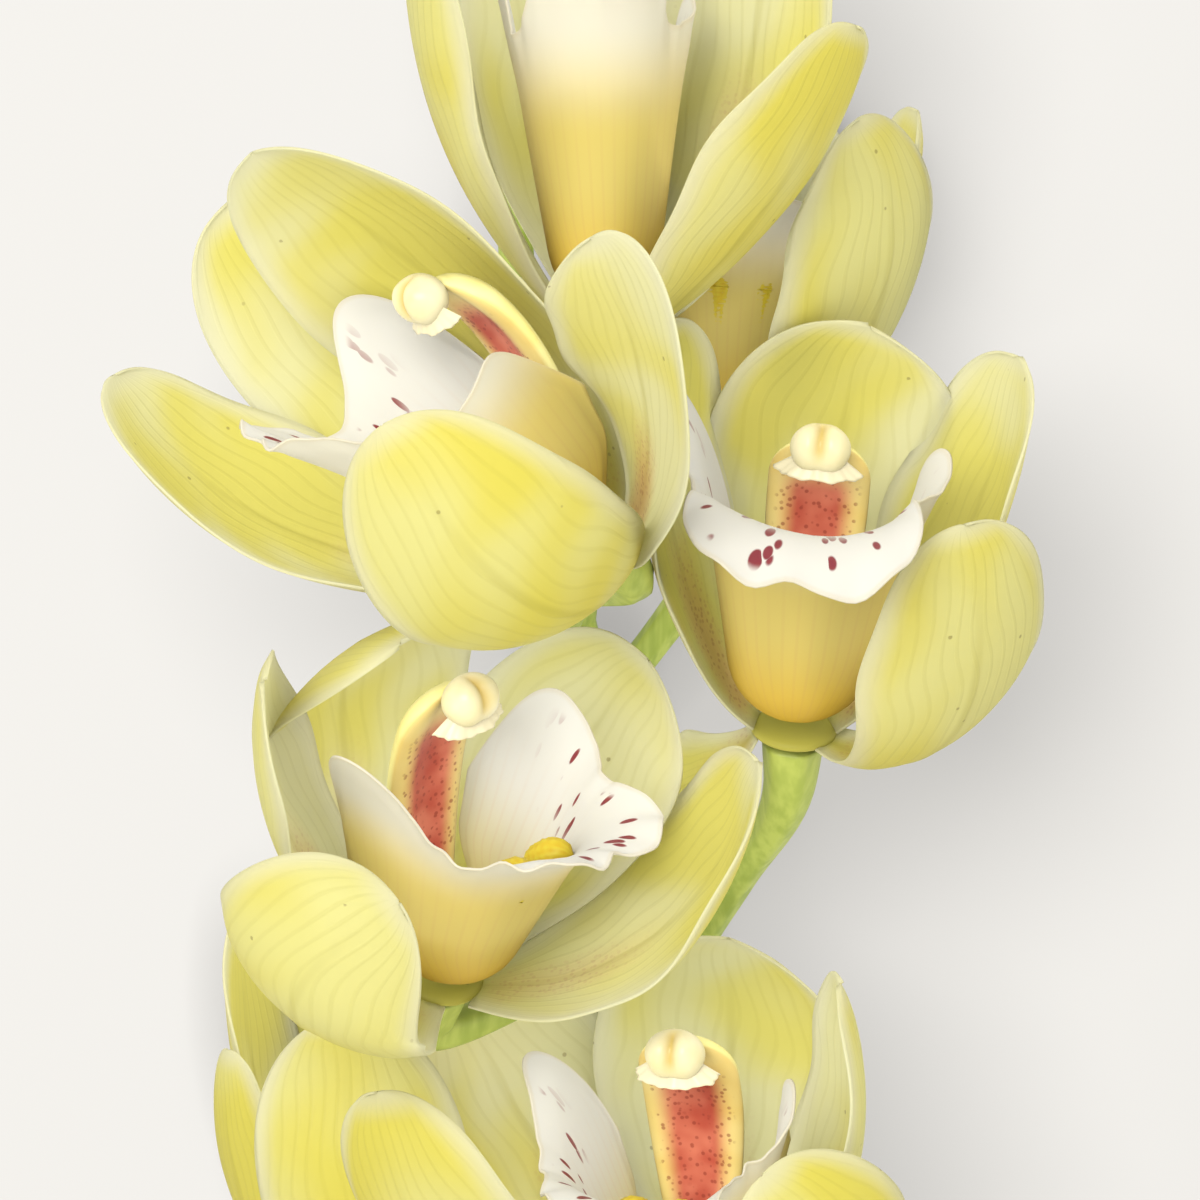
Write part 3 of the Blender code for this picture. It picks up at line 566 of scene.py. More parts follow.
def add_tepal(skin, bloom, name, tepal, number):
    """One tepal: thick at its midrib and root, thin at its margin."""
    petal = name.endswith("petal")
    root_forward = PETAL_ROOT_FORWARD if petal else SEPAL_ROOT_FORWARD
    surface, along, across, half = tepal_surface(bloom, tepal, root_forward, number)
    shares = np.broadcast_to(along[:, None], surface.shape[:2])
    sides = np.broadcast_to(across[None, :], surface.shape[:2])
    margin = np.minimum((1 - np.abs(sides)) * half[:, None], (1 - shares) * TEPAL_TIP_MARGIN)
    inside = smoothstep(0, TEPAL_EDGE_BREADTH, margin)
    thickness = TEPAL_EDGE_THICKNESS + (TEPAL_THICKNESS - TEPAL_EDGE_THICKNESS) * inside
    wander = 0.05 * np.sin(9 * shares + number) + 0.03 * np.sin(23 * shares + 5 * sides)
    skin.sheet(
        surface, thickness, along=shares, margin=margin, width=sides * half[:, None],
        vein=VEINS_EACH_SIDE * (sides + wander), patch=patches(surface, number),
        blush=(1.0 if petal else SEPAL_BLUSH) * np.ones(shares.shape),
    )


def patches(points, number):
    """Soft uneven patches over a surface, between 0 and 1, different for each number."""
    x, y, z = points[..., 0], points[..., 1], points[..., 2]
    first = np.sin(0.13 * x + 0.8 * np.sin(0.11 * y + number) + 1.7 * number)
    second = np.sin(0.19 * y + 0.9 * np.sin(0.2 * z + 0.07 * x) - number)
    third = np.sin(0.52 * x - 0.4 * z + 1.1 * np.sin(0.37 * y))
    return 0.5 + 0.2 * first + 0.2 * second + 0.1 * third


def ellipsoid_rings(centre, directions, radii, rings, segments, shape=None):
    """Rings of a stretched ball from its back pole to its front pole, reshaped if wished."""
    polar = np.linspace(0.02, math.pi - 0.02, rings)[:, None]
    around = np.linspace(0, 2 * math.pi, segments, endpoint=False)[None, :]
    x = np.sin(polar) * np.cos(around)
    y = np.sin(polar) * np.sin(around)
    z = -np.cos(polar) * np.ones_like(around)
    scale = shape(x, y, z) if shape else 1.0
    local = np.stack([radii[0] * x * scale, radii[1] * y * scale, radii[2] * z * scale], axis=-1)
    return centre + local @ np.array(directions)


def make_tepals(number, bloom, material):
    skin = Skin()
    for order, (name, tepal) in enumerate(bloom.tepals.items()):
        add_tepal(skin, bloom, name, tepal, number * 5 + order)
    radii = (RECEPTACLE_RADIUS, RECEPTACLE_RADIUS, RECEPTACLE_HALF_HEIGHT)
    rings = ellipsoid_rings(
        np.array(bloom.base, float), bloom_directions(bloom), radii,
        RECEPTACLE_RINGS, RECEPTACLE_SEGMENTS,
    )
    skin.bar(rings, margin=RECEPTACLE_MARGIN, inner=1.0, patch=RECEPTACLE_PATCH)
    skin.make(f"bloom_{number}_petals", material, f"bloom_{number}_tepals")


def lip_reach(lip, phi):
    """How far the lip runs from its root, at an angle round the throat from its middle."""
    lobe = np.where(phi < 0, lip.left_lobe, lip.right_lobe)
    reach = LIP_THROAT_REACH + lip.middle * np.exp(-(phi / LIP_MIDDLE_BREADTH) ** 4)
    notch = LIP_NOTCH_DEPTH * np.exp(-(phi / LIP_NOTCH_BREADTH) ** 2)
    side = lobe * np.exp(-((np.abs(phi) - LIP_SIDE_LOBE_ANGLE) / LIP_SIDE_LOBE_BREADTH) ** 2)
    edge = np.maximum((np.abs(phi) - LIP_EDGE_START) / (LIP_WRAP - LIP_EDGE_START), 0)
    return (reach - notch + side) * (1 - LIP_EDGE_CUT * edge ** 2)


def lip_profile(lip, phi, reach):
    """The lip's run from root to edge at one angle: distance, radius, forward and slope."""
    run = np.linspace(0, reach, PROFILE_SAMPLES)
    front = math.exp(-(phi / LIP_FRONT_BREADTH) ** 2)
    side = lip.left_side if phi < 0 else lip.right_side
    bend = lip.flare * front + side * (1 - front)
    turn = np.clip((run - LIP_BEND_START) / LIP_BEND_LENGTH, 0, 1)
    root_slope = LIP_ROOT_SLOPE * np.clip(1 - run / LIP_ROOT_RUN, 0, 1)
    slope = np.radians(lip.opening + root_slope + bend * turn * turn * (3 - 2 * turn))
    step = run[1]
    radius = LIP_ROOT_RADIUS + np.concatenate([[0], np.cumsum(np.sin(slope[:-1]) * step)])
    forward = LIP_ROOT_FORWARD + np.concatenate([[0], np.cumsum(np.cos(slope[:-1]) * step)])
    return run, radius, forward, slope


def lip_points(lip, phi, run, lift):
    """Points down the lip at one angle, in right, up, forward, lifted off its inner face."""
    runs, radii, forwards, slopes = lip_profile(lip, phi, float(lip_reach(lip, phi)))
    slope = np.interp(run, runs, slopes)
    radius = np.interp(run, runs, radii) - lift * np.cos(slope)
    forward = np.interp(run, runs, forwards) + lift * np.sin(slope)
    gather = smoothstep(0, LIP_ROOT_WRAP_RUN, run)
    angle = phi * (LIP_ROOT_WRAP_SHARE + (1 - LIP_ROOT_WRAP_SHARE) * gather)
    turn = np.radians(np.abs(angle))
    low = np.abs(angle) <= 90
    x = np.where(low, radius * np.sin(turn), radius) * np.sign(angle)
    y = np.where(low, -radius * np.cos(turn), LIP_WALL_RISE * radius * (turn - math.pi / 2))
    return lip.size * np.stack([x * lip.width, y, forward], axis=-1)


def make_lip(number, bloom, material):
    """The lip with its ruffled edge, crisped margin and two yellow keels."""
    lip = bloom.lip
    angles = np.linspace(LIP_WRAP, -LIP_WRAP, LIP_COLUMNS + 1)
    reach = lip_reach(lip, angles)
    share = edge_weighted(LIP_ROWS)
    surface = np.zeros((LIP_ROWS + 1, LIP_COLUMNS + 1, 3))
    front = np.exp(-(angles / LIP_CRISP_BREADTH) ** 4)
    (first, first_turns), (second, second_turns) = LIP_CRISP_WAVES
    for j, phi in enumerate(angles):
        turn = math.radians(phi)
        ruffle = LIP_RUFFLE * share ** LIP_RUFFLE_POWER * math.sin(LIP_RUFFLES_PER_TURN * turn)
        waves = first * math.sin(first_turns * turn + number)
        waves += second * math.sin(second_turns * turn)
        crisp = front[j] * share ** LIP_CRISP_POWER * waves
        surface[:, j] = lip_points(lip, phi, share * reach[j], -(ruffle + crisp))
    shares = np.broadcast_to(share[:, None], surface.shape[:2])
    turns = np.broadcast_to(angles[None, :], surface.shape[:2])
    edge = (1 - shares) * reach[None, :]
    side = (LIP_WRAP - np.abs(turns)) * LIP_MM_PER_DEGREE
    inside = smoothstep(0, LIP_EDGE_BREADTH, np.minimum(edge, side))
    thickness = LIP_EDGE_THICKNESS + (LIP_THICKNESS - LIP_EDGE_THICKNESS) * inside
    skin = Skin()
    skin.sheet(
        placed(surface, bloom), thickness, turn=turns / LIP_WRAP, margin=edge,
        run=shares * reach[None, :],
    )
    for keel_side in (-1, 1):
        add_keel(skin, bloom, keel_side)
    skin.make(f"bloom_{number}_lip_fine", material, f"bloom_{number}_lip")


def add_keel(skin, bloom, side):
    """A yellow ridge down the lip's inner face that swells into a knob at its front end."""
    share = np.linspace(0, 1, KEEL_ROWS)
    runs = KEEL_START + (KEEL_END - KEEL_START) * share
    radius = np.interp(share, np.linspace(0, 1, len(KEEL_RADII)), KEEL_RADII)
    closing = np.clip(1 - (2 * share - 1) ** KEEL_END_POWER, KEEL_END_FLOOR, 1)
    radius = radius * np.sqrt(closing)
    line = placed(lip_points(bloom.lip, side * KEEL_ANGLE, runs, KEEL_LIFT * radius), bloom)
    tangents, normals = line_frames(line, bloom_directions(bloom)[1])
    around = np.linspace(0, 2 * math.pi, KEEL_COLUMNS, endpoint=False)
    turns, place = around[None, :], share[:, None]
    warts = np.sin(KEEL_WARTS_AROUND[0] * turns + KEEL_WARTS_ALONG[0] * place)
    warts = warts * np.sin(KEEL_WARTS_ALONG[1] * place - KEEL_WARTS_AROUND[1] * turns)
    grain = 1 + KEEL_WART_SHARE * warts
    rings = line[:, None] + (radius[:, None] * grain)[..., None] * (
        np.cos(around)[None, :, None] * normals[:, None]
        + np.sin(around)[None, :, None] * np.cross(tangents, normals)[:, None]
    )
    skin.bar(rings, keel=1.0, margin=KEEL_MARGIN, inner=1.0, warts=0.5 + 0.5 * warts)


def column_line(bloom):
    """The column's line from its root to its end, in the bloom's right, up and forward."""
    end_up, end_forward = bloom.column_end
    return evenly_spaced(bezier(
        np.array([0, COLUMN_ROOT_UP, COLUMN_ROOT_FORWARD]),
        np.array([0, COLUMN_ARCH_UP, COLUMN_ARCH_FORWARD]),
        np.array([0, end_up + COLUMN_END_ARCH_UP, end_forward - COLUMN_END_ARCH_BACK]),
        np.array([0, end_up, end_forward]), LINE_SAMPLES,
    ))


def make_column(number, bloom, material):
    """The arched column: a half-round bar that widens forward, hollow on its under side."""
    line = column_line(bloom)
    normals = line_frames(line, (0, -1, 0))[1]
    shaft = np.linspace(0, COLUMN_SHAFT_END, COLUMN_SHAFT_ROWS)
    share = np.concatenate([shaft, np.linspace(COLUMN_END_START, 1, COLUMN_END_ROWS)])
    widening = np.sin(0.5 * math.pi * np.minimum(1, share / COLUMN_WIDEST_AT))
    width = COLUMN_ROOT_HALF_WIDTH + (COLUMN_HALF_WIDTH - COLUMN_ROOT_HALF_WIDTH) * widening
    past = np.clip(share - COLUMN_ROUND_FROM, 0, 1) / (1 - COLUMN_ROUND_FROM)
    rounding = np.sqrt(np.maximum(1 - past ** 2, COLUMN_END_SHARE ** 2))
    width = (width * rounding)[:, None]
    height = ((COLUMN_HALF_HEIGHT + COLUMN_HALF_HEIGHT_GAIN * share) * rounding)[:, None]
    around = np.linspace(0, 2 * math.pi, COLUMN_COLUMNS, endpoint=False)[None, :]
    side = -np.cos(around) * np.ones_like(width)
    under = height * np.sin(around)
    hollow = COLUMN_UNDER_SHARE - COLUMN_HOLLOW_DEPTH * np.exp(-(side / COLUMN_HOLLOW_BREADTH) ** 2)
    under = np.where(under > 0, under * hollow, under)
    rings = sampled(line, share)[:, None] + sampled(normals, share)[:, None] * under[..., None]
    rings[..., 0] += width * side
    below = smoothstep(-0.15, 0.12, np.sin(around)) * np.ones_like(side)
    along = share[:, None] * np.ones_like(side)
    skin = Skin()
    skin.bar(placed(rings, bloom), along=along, below=below, across=side)
    skin.make(f"bloom_{number}_column_fine", material, f"bloom_{number}_column")


def cap_groove(x, y, z):
    """How deep the groove between the cap's two lobes is, from 0 to 1."""
    middle = np.exp(-(x / CAP_GROOVE_BREADTH) ** 2)
    return middle * smoothstep(-0.5, 0.4, z) * smoothstep(0.75, -0.1, y)


def cap_shape(x, y, z):
    """Two rounded lobes that bulge on the under side, with a groove between them."""
    lobes = np.exp(-((np.abs(x) - CAP_LOBE_AT) / CAP_LOBE_BREADTH) ** 2)
    swelling = CAP_LOBE_GAIN * lobes * smoothstep(0.3, -0.6, y)
    return 1 + swelling - CAP_GROOVE_DEPTH * cap_groove(x, y, z)


def make_anther_cap(number, bloom, material):
    """The two-lobed cap on the column's end, over a thin pale flap with an uneven edge."""
    end_up, end_forward = bloom.column_end
    middle = [0, end_up - CAP_DROP, end_forward + CAP_FORWARD]
    centre = placed(np.array([middle]), bloom)[0]
    directions = bloom_directions(bloom)
    skin = Skin()
    rings = ellipsoid_rings(centre, directions, CAP_RADII, CAP_RINGS, CAP_SEGMENTS, cap_shape)
    ball = ellipsoid_rings(np.zeros(3), np.eye(3), (1, 1, 1), CAP_RINGS, CAP_SEGMENTS)
    skin.bar(rings, groove=cap_groove(ball[..., 0], ball[..., 1], ball[..., 2]))
    around = np.linspace(math.pi, 2 * math.pi, FLAP_COLUMNS)
    reach = np.linspace(0, 1, FLAP_ROWS)[:, None]
    rag = 0.05 * np.sin(7 * around + number) + 0.03 * np.sin(19 * around)
    radius = FLAP_START + reach * (FLAP_REACH + rag)
    near, far = FLAP_BACK
    local = np.stack([
        CAP_RADII[0] * FLAP_WIDTH_SHARE * radius * np.cos(around),
        CAP_RADII[1] * FLAP_DEPTH_SHARE * radius * np.sin(around),
        -CAP_RADII[2] * (near + far * reach + 0.04 * np.sin(9 * around) * reach),
    ], axis=-1)
    flap = centre + local @ np.array(directions)
    thickness = np.full(flap.shape[:2], FLAP_THICKNESS)
    skin.sheet(flap, thickness, collar=np.ones(flap.shape[:2]))
    node = f"bloom_{number}_anther_cap"
    skin.make(f"bloom_{number}_cap_fine", material, node)


def tube_rings(line, radii, columns, ridges, ridge_depth):
    """Rings round a line, with shallow ridges that run along it."""
    tangents, normals = line_frames(line, (0.3, 0.2, 1))
    around = np.linspace(0, 2 * math.pi, columns, endpoint=False)[None, :]
    radius = radii[:, None] * (1 + ridge_depth * np.cos(ridges * around))
    across = np.cross(tangents, normals)
    return line[:, None] + radius[..., None] * (
        np.cos(around)[..., None] * normals[:, None] + np.sin(around)[..., None] * across[:, None]
    )


def pedicel_path(bloom):
    """A bloom stalk's points and radii, from the top of the ovary down to the flower stem."""
    base = np.array(bloom.base, float)
    forward = bloom_directions(bloom)[2]
    points = [base - OVARY_TOP_GAP * forward, base - bloom.neck * forward, *bloom.pedicel]
    middle = [PEDICEL_RADIUS] * (len(bloom.pedicel) - 1)
    radii = [OVARY_RADIUS, NECK_RADIUS, *middle, PEDICEL_FOOT_RADIUS]
    return smooth_path(points, radii, PATH_STEPS)


def make_stalk(material):
    """The flower stem, its bud and the ridged bloom stalks that join it."""
    line, radii = smooth_path(STALK_POINTS, STALK_RADII, PATH_STEPS)
    skin = Skin()
    rings = tube_rings(line, radii, STALK_COLUMNS, STALK_RIDGES, STALK_RIDGE_DEPTH)
    inset = line[:1, None] + (rings[:1] - line[:1, None]) * CUT_END_SHARE
    rings = np.concatenate([inset, rings])
    cut = np.zeros(rings.shape[:2])
    cut[0] = 1
    skin.bar(rings, cut=cut)
    for bloom in BLOOMS.values():
        points, sizes = pedicel_path(bloom)
        share = np.linspace(1, 0, len(points))[:, None]
        rings = tube_rings(points, sizes, PEDICEL_COLUMNS, PEDICEL_RIDGES, PEDICEL_RIDGE_DEPTH)
        skin.bar(rings, ovary=share * np.ones(rings.shape[:2]))
    forward = unit(line[-1] - line[-2])
    across = unit(np.cross(forward, (0, 0, 1)))
    directions = (across, np.cross(forward, across), forward)
    centre = line[-1] + forward * BUD_LENGTH * BUD_OVERLAP_SHARE
    radii = (BUD_RADIUS, BUD_RADIUS, BUD_LENGTH / 2)
    rings = ellipsoid_rings(centre, directions, radii, BUD_RINGS, BUD_SEGMENTS)
    skin.bar(rings, ovary=BUD_GREEN_SHARE)
    skin.make("flower_stalk", material, "flower_stem")


def make_bracts(material):
    """The papery bracts that sheath the bare stretch of the stalk."""
    line, radii = smooth_path(STALK_POINTS, STALK_RADII, PATH_STEPS)
    tangents, normals = line_frames(line, (1, 0, 0))
    run = np.concatenate([[0], np.cumsum(np.linalg.norm(np.diff(line, axis=0), axis=1))])
    skin = Skin()
    for bract in BRACTS:
        share = edge_weighted(BRACT_ROWS)
        place = np.interp(bract.start + bract.length * share, run, np.linspace(0, 1, len(run)))
        right = units(sampled(normals, place))
        above = np.cross(right, units(sampled(tangents, place)))
        radius = sampled(radii[:, None], place)[:, 0] + BRACT_OVER_STALK + bract.lift * share ** 2
        wrap = bract.wrap * np.maximum(1 - share ** BRACT_TAPER_POWER, BRACT_TIP_SHARE)
        across = np.linspace(-1, 1, BRACT_COLUMNS + 1)
        angles = np.radians(bract.side + wrap[:, None] * across[None, :])[..., None]
        ring = np.cos(angles) * right[:, None] + np.sin(angles) * above[:, None]
        surface = sampled(line, place)[:, None] + radius[:, None, None] * ring
        shares = share[:, None] * np.ones(surface.shape[:2])
        sides = across[None, :] * np.ones(surface.shape[:2])
        thickness = np.full(surface.shape[:2], BRACT_THICKNESS)
        skin.sheet(surface, thickness, along=shares, across=sides)
    skin.make("stalk_bracts", material, "flower_stem")


class Shades:
    """The nodes of one material, with a short call for each kind used here."""

    def __init__(self, name, roughness, specular):
        self.material = bpy.data.materials.new(name)
        self.material.use_nodes = True
        self.nodes = self.material.node_tree.nodes
        self.links = self.material.node_tree.links
        self.shader = self.nodes["Principled BSDF"]
        self.shader.inputs["Roughness"].default_value = roughness
        self.shader.inputs["Specular IOR Level"].default_value = specular

    def plug(self, source, socket):
        """Link a node's result, or set a plain number or colour."""
        if hasattr(source, "links"):
            self.links.new(source, socket)
        else:
            socket.default_value = source

    def value(self, name):
        """A named value that the piece carries at each point."""
        node = self.nodes.new("ShaderNodeAttribute")
        node.attribute_name = name
        return node.outputs["Fac"]

    def math(self, operation, a, b=0.0):
        node = self.nodes.new("ShaderNodeMath")
        node.operation = operation
        self.plug(a, node.inputs[0])
        self.plug(b, node.inputs[1])
        return node.outputs[0]

    def step(self, value, low, high):
        """0 below low, 1 above high, and a smooth rise between them."""
        node = self.nodes.new("ShaderNodeMapRange")
        node.interpolation_type = "SMOOTHSTEP"
        self.plug(value, node.inputs["Value"])
        node.inputs["From Min"].default_value = min(low, high)
        node.inputs["From Max"].default_value = max(low, high)
        node.inputs["To Min"].default_value = 0.0 if low < high else 1.0
        node.inputs["To Max"].default_value = 1.0 if low < high else 0.0
        return node.outputs["Result"]

    def mix(self, share, a, b):
        node = self.nodes.new("ShaderNodeMix")
        node.data_type = "RGBA"
        self.plug(share, node.inputs["Factor"])
        self.plug(a, node.inputs["A"])
        self.plug(b, node.inputs["B"])
        return node.outputs["Result"]

    def place(self):
        """Places on the object, in metres."""
        return self.nodes.new("ShaderNodeTexCoord").outputs["Object"]

    def stretched(self, share):
        """Places on the object, drawn out along the stem."""
        node = self.nodes.new("ShaderNodeMapping")
        self.plug(self.place(), node.inputs["Vector"])
        node.inputs["Scale"].default_value = (1.0, share, 1.0)
        return node.outputs[0]

    def vector(self, x, y):
        node = self.nodes.new("ShaderNodeCombineXYZ")
        self.plug(x, node.inputs[0])
        self.plug(y, node.inputs[1])
        return node.outputs[0]

    def noise(self, vector, scale, detail=2.0):
        node = self.nodes.new("ShaderNodeTexNoise")
        self.plug(vector, node.inputs["Vector"])
        node.inputs["Scale"].default_value = scale
        node.inputs["Detail"].default_value = detail
        return node.outputs["Fac"]

    def cells(self, vector, scale):
        """Distance to the nearest scattered point, and that point's own random number."""
        node = self.nodes.new("ShaderNodeTexVoronoi")
        self.plug(vector, node.inputs["Vector"])
        node.inputs["Scale"].default_value = scale
        split = self.nodes.new("ShaderNodeSeparateColor")
        self.links.new(node.outputs["Color"], split.inputs["Color"])
        return node.outputs["Distance"], split.outputs["Red"]

    def bump(self, height, distance, strength):
        node = self.nodes.new("ShaderNodeBump")
        self.plug(height, node.inputs["Height"])
        node.inputs["Distance"].default_value = distance
        node.inputs["Strength"].default_value = strength
        self.links.new(node.outputs["Normal"], self.shader.inputs["Normal"])

    def colour(self, colour):
        self.plug(colour, self.shader.inputs["Base Color"])

    def lets_light_through(self, colour, share):
        """Thin tissue: part of the light comes through from behind."""
        through = self.nodes.new("ShaderNodeBsdfTranslucent")
        self.plug(colour, through.inputs["Color"])
        both = self.nodes.new("ShaderNodeMixShader")
        both.inputs["Fac"].default_value = share
        self.links.new(self.shader.outputs["BSDF"], both.inputs[1])
        self.links.new(through.outputs["BSDF"], both.inputs[2])
        self.links.new(both.outputs["Shader"], self.nodes["Material Output"].inputs["Surface"])


def shade(code):
    """A colour from its six-digit code, as linear red, green, blue and alpha."""
    parts = [int(code[i:i + 2], 16) / 255 for i in (1, 3, 5)]
    return (*[p / 12.92 if p <= 0.04045 else ((p + 0.055) / 1.055) ** 2.4 for p in parts], 1.0)


def veins(shades, phase):
    """Fine lines, one at each whole number of the phase."""
    wave = shades.math("COSINE", shades.math("MULTIPLY", phase, 2 * math.pi))
    return shades.step(wave, 0.5, 1.0)


def product(shades, *values):
    """Several values multiplied together."""
    result = values[0]
    for value in values[1:]:
        result = shades.math("MULTIPLY", result, value)
    return result


def tepal_material():
    """Luminous pale yellow petals, with lighter margins, olive veins and a blush at the root."""
    s = Shades("petal", 0.42, 0.3)
    along, margin, width = s.value("along"), s.value("margin"), s.value("width")
    inner, patch, blush = s.value("inner"), s.value("patch"), s.value("blush")
    mottle = s.step(patch, 0.2, 0.8)
    face = s.mix(mottle, shade("#faf078"), shade("#fefac2"))
    back = s.mix(mottle, shade("#f9ed68"), shade("#fcf7a4"))
    colour = s.mix(inner, back, face)
    colour = s.mix(product(s, s.step(along, 0.34, 0.02), 0.6), colour, shade("#d8d04e"))
    colour = s.mix(product(s, s.step(margin, 4.0, 0.1), 0.8), colour, shade("#fdfad8"))
    vein = veins(s, s.value("vein"))
    inside = s.step(margin, 0.8, 4.5)
    colour = s.mix(product(s, vein, inside, 0.1), colour, shade("#bcb338"))
    middle = s.math("ABSOLUTE", width)
    midrib = product(s, s.step(middle, 1.0, 0.1), s.step(along, 0.97, 0.5))
    colour = s.mix(product(s, midrib, 0.28), colour, shade("#b9ae3a"))
    distance, chance = s.cells(s.place(), SPECKLES_PER_METRE)
    speckle = product(s, s.step(distance, 0.5, 0.25), s.step(chance, 0.3, 0.4))
    stripe = product(s, s.step(middle, 5.0, 0.8), s.step(along, 0.56, 0.25))
    stripe = product(s, stripe, s.step(along, 0.0, 0.07), blush, inner)
    colour = s.mix(product(s, stripe, 0.7), colour, shade("#e2a06c"))
    colour = s.mix(product(s, stripe, speckle, 0.6), colour, shade("#b5583c"))
    freckle = product(s, s.step(distance, 0.5, 0.3), s.step(chance, 0.998, 0.9985))
    colour = s.mix(product(s, freckle, 0.6), colour, shade("#8f7a3a"))
    s.colour(colour)
    s.bump(vein, VEIN_RELIEF, 0.3)
    s.lets_light_through(s.mix(0.5, colour, shade("#fffbd0")), PETAL_CLEARNESS)
    return s.material


def lip_material():
    """An ivory lip with a yellow throat, maroon dashes near its front edge and yellow keels."""
    s = Shades("lip", 0.45, 0.3)
    margin, run, inner = s.value("margin"), s.value("run"), s.value("inner")
    turn, keel, warts = s.value("turn"), s.value("keel"), s.value("warts")
    face = s.mix(s.step(run, 26, 5), shade("#fdfaf0"), shade("#f0da78"))
    back = s.mix(s.step(run, 36, 22), shade("#fbf5dc"), shade("#f8e078"))
    back = s.mix(s.step(run, 18, 2), back, shade("#f6c832"))
    colour = s.mix(inner, back, face)
    stripe = veins(s, s.math("MULTIPLY", turn, LIP_VEINS_EACH_SIDE))
    colour = s.mix(product(s, stripe, s.step(run, 34, 12), 0.1), colour, shade("#dfa46a"))
    across = s.math("MULTIPLY", turn, LIP_DASHES_EACH_SIDE)
    cell = s.vector(across, s.math("MULTIPLY", run, 1 / LIP_DASH_PITCH))
    distance, chance = s.cells(cell, 1.0)
    dash = s.step(s.math("SUBTRACT", distance, s.math("MULTIPLY", chance, 0.22)), 0.2, 0.12)
    zone = product(s, s.step(margin, 1.6, 3.0), s.step(margin, 14.0, 8.0))
    zone = product(s, zone, s.step(s.math("ABSOLUTE", turn), 0.72, 0.55))
    dash = product(s, dash, s.step(chance, 0.36, 0.42), zone, inner)
    colour = s.mix(dash, colour, shade("#97203f"))
    colour = s.mix(product(s, s.step(margin, 0.9, 0.1), 0.3), colour, shade("#ecd9a8"))
    colour = s.mix(keel, colour, s.mix(warts, shade("#f4c914"), shade("#ffea48")))
    s.colour(colour)
    s.lets_light_through(s.mix(0.4, colour, shade("#fffae8")), LIP_CLEARNESS)
    return s.material


def column_material():
    """A cream-yellow column, brick red with dark dots down the middle of its under side."""
    s = Shades("column", 0.38, 0.35)
    along, below = s.value("along"), s.value("below")
    side = s.math("ABSOLUTE", s.value("across"))
    patch = s.noise(s.place(), 160)
    top = s.mix(patch, shade("#ecdc62"), shade("#f8f0b0"))
    edge = s.mix(patch, shade("#dcb654"), shade("#ead88e"))
    red = s.mix(s.step(patch, 0.3, 0.7), shade("#a93d28"), shade("#cb7052"))
    middle = product(s, s.step(side, 0.85, 0.35), s.step(along, 0.92, 0.78))
    colour = s.mix(below, top, s.mix(middle, edge, red))
    distance, chance = s.cells(s.place(), DOTS_PER_METRE)
    dot = product(s, s.step(distance, 0.45, 0.25), s.step(chance, 0.3, 0.45))
    dotted = product(s, dot, below, s.step(along, 0.9, 0.78), s.step(side, 0.9, 0.7), 0.6)
    colour = s.mix(dotted, colour, shade("#7f2717"))
    s.colour(colour)
    return s.material


def cap_material():
    """A waxy cream cap with a pale collar."""
    s = Shades("anther_cap", 0.32, 0.45)
    patch = s.noise(s.place(), 300)
    colour = s.mix(patch, shade("#dccd8a"), shade("#e9e0ba"))
    colour = s.mix(s.value("groove"), colour, shade("#d3b662"))
    colour = s.mix(s.value("collar"), colour, shade("#e6dab0"))
    s.colour(colour)
    return s.material


def stalk_material():
    """A fresh green stalk with long pale streaks and a dry pale cut end."""
    s = Shades("stalk", 0.4, 0.35)
    ovary, cut = s.value("ovary"), s.value("cut")
    streak = s.noise(s.stretched(STREAK_STRETCH), STREAKS_PER_METRE)
    colour = s.mix(s.step(streak, 0.3, 0.7), shade("#7f9430"), shade("#a9b650"))
    colour = s.mix(product(s, ovary, 0.6), colour, shade("#bcc258"))
    distance = s.cells(s.place(), DOTS_PER_METRE)[0]
    pith = s.mix(s.step(distance, 0.2, 0.4), shade("#a39a58"), shade("#dcd7a4"))
    s.colour(s.mix(cut, colour, pith))
    s.bump(streak, STALK_RELIEF, 0.3)
    return s.material


def bract_material():
    """Thin green bracts that dry to straw toward their tips, with lengthwise veins."""
    s = Shades("bract", 0.5, 0.3)
    along, across = s.value("along"), s.value("across")
    patch = s.noise(s.place(), 80)
    dry = s.step(s.math("ADD", along, s.math("MULTIPLY", patch, 0.35)), 0.75, 1.15)
    colour = s.mix(dry, s.mix(patch, shade("#8c9a40"), shade("#a8b05a")), shade("#c4b27c"))
    vein = veins(s, s.math("MULTIPLY", across, BRACT_VEINS_EACH_SIDE))
    colour = s.mix(product(s, vein, 0.3), colour, shade("#7c8432"))
    s.colour(colour)
    s.bump(vein, STALK_RELIEF, 0.4)
    return s.material


def floor_material():
    """A matte, nearly white studio floor with a faint grain."""
    s = Shades("floor", 0.9, 0.1)
    grain = s.noise(s.place(), 4, 1)
    s.colour(s.mix(grain, shade("#bcbab6"), shade("#bfbdb9")))
    return s.material


def make_floor():
    bpy.ops.mesh.primitive_plane_add(size=FLOOR_SIZE)
    floor = bpy.context.object
    floor.name = "studio_floor"
    floor.data.materials.append(floor_material())


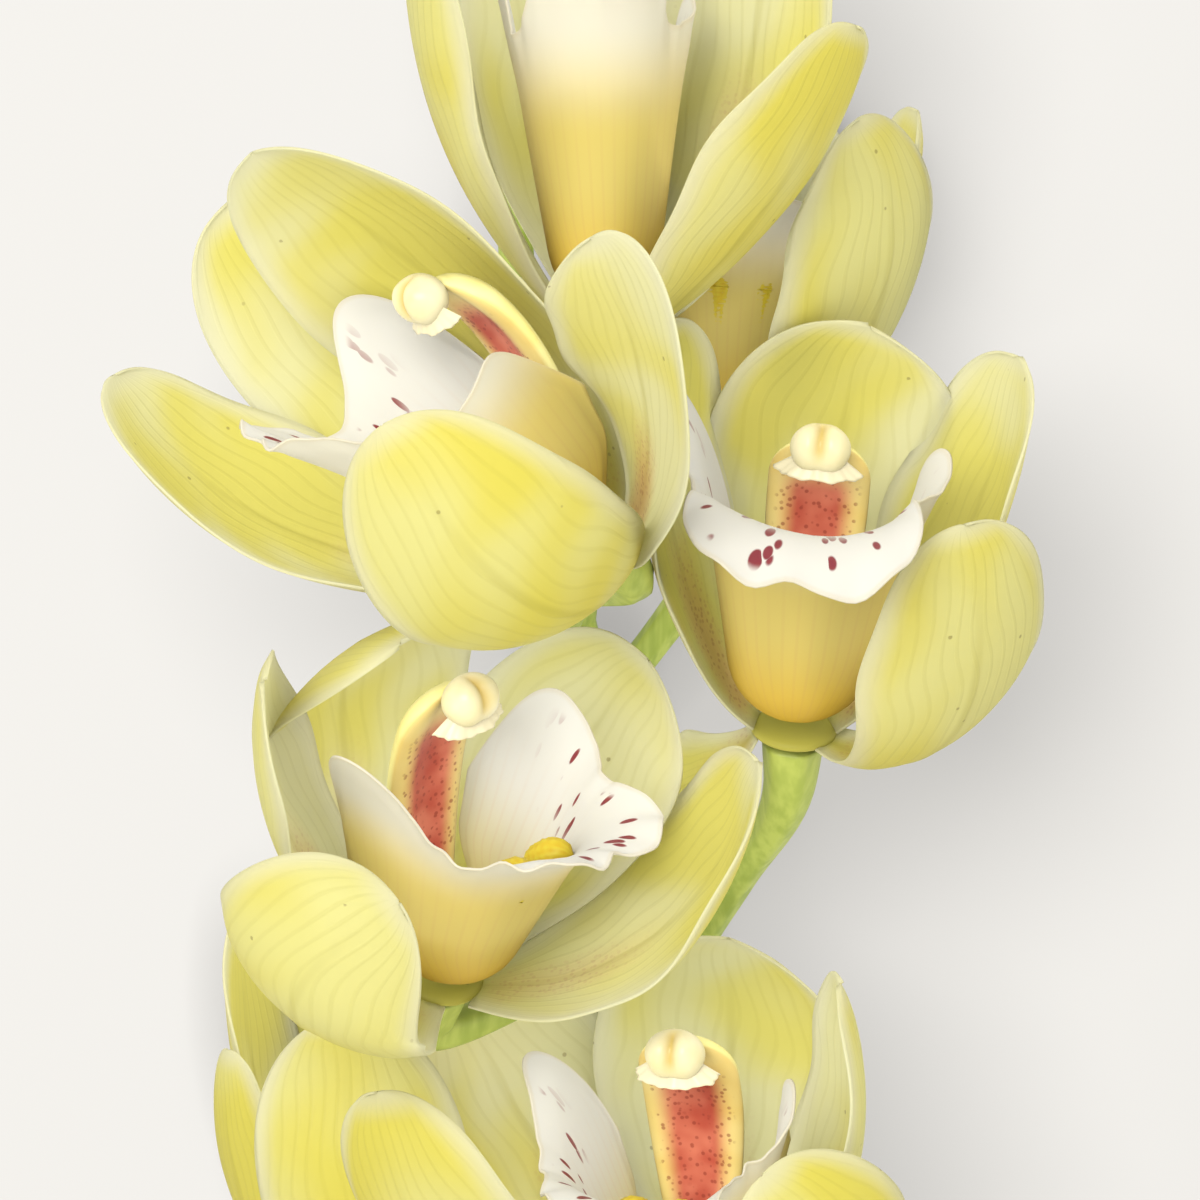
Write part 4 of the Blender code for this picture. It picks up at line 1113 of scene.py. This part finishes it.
def add_area_light(name, place, target, size, power):
    light = bpy.data.lights.new(name, "AREA")
    light.shape = "DISK"
    light.size = size
    light.energy = power
    lamp = bpy.data.objects.new(name, light)
    lamp.location = place
    lamp.rotation_euler = (Vector(target) - Vector(place)).to_track_quat("-Z", "Y").to_euler()
    bpy.context.scene.collection.objects.link(lamp)


def light_the_studio():
    """One broad soft light above, a little to the left, and a pale surround that fills the cups."""
    world = bpy.data.worlds.new("studio")
    world.use_nodes = True
    world.node_tree.nodes["Background"].inputs["Color"].default_value = (1, 1, 1, 1)
    world.node_tree.nodes["Background"].inputs["Strength"].default_value = SURROUND_STRENGTH
    bpy.context.scene.world = world
    blooms = Vector((LAYOUT_SHIFT[0], LAYOUT_SHIFT[1], BLOOM_HEIGHT)) * MM
    add_area_light("key", blooms + Vector(KEY_OFFSET), blooms, KEY_SIZE, KEY_POWER)
    bpy.context.scene.view_settings.view_transform = "Standard"
    cycles = bpy.context.scene.cycles
    cycles.max_bounces = BOUNCES
    cycles.diffuse_bounces = BOUNCES
    cycles.use_light_tree = False
    cycles.use_fast_gi = True
    cycles.fast_gi_method = "REPLACE"
    cycles.ao_bounces_render = 1
    world.light_settings.distance = FILL_REACH
    world.light_settings.ao_factor = FILL_STRENGTH


def add_camera():
    """Straight above the blooms, the stem's tip up in the picture."""
    data = bpy.data.cameras.new("camera")
    data.sensor_width = SENSOR_WIDTH
    data.lens = SENSOR_WIDTH * CAMERA_DISTANCE / VIEW_WIDTH
    camera = bpy.data.objects.new("camera", data)
    height = BLOOM_HEIGHT + CAMERA_DISTANCE
    camera.location = Vector((LAYOUT_SHIFT[0], LAYOUT_SHIFT[1], height)) * MM
    bpy.context.scene.collection.objects.link(camera)
    bpy.context.scene.camera = camera


def main():
    petal, lip = tepal_material(), lip_material()
    column, cap = column_material(), cap_material()
    for number, bloom in BLOOMS.items():
        make_tepals(number, bloom, petal)
        make_lip(number, bloom, lip)
        make_column(number, bloom, column)
        make_anther_cap(number, bloom, cap)
    make_stalk(stalk_material())
    make_bracts(bract_material())
    make_floor()
    light_the_studio()
    add_camera()


main()
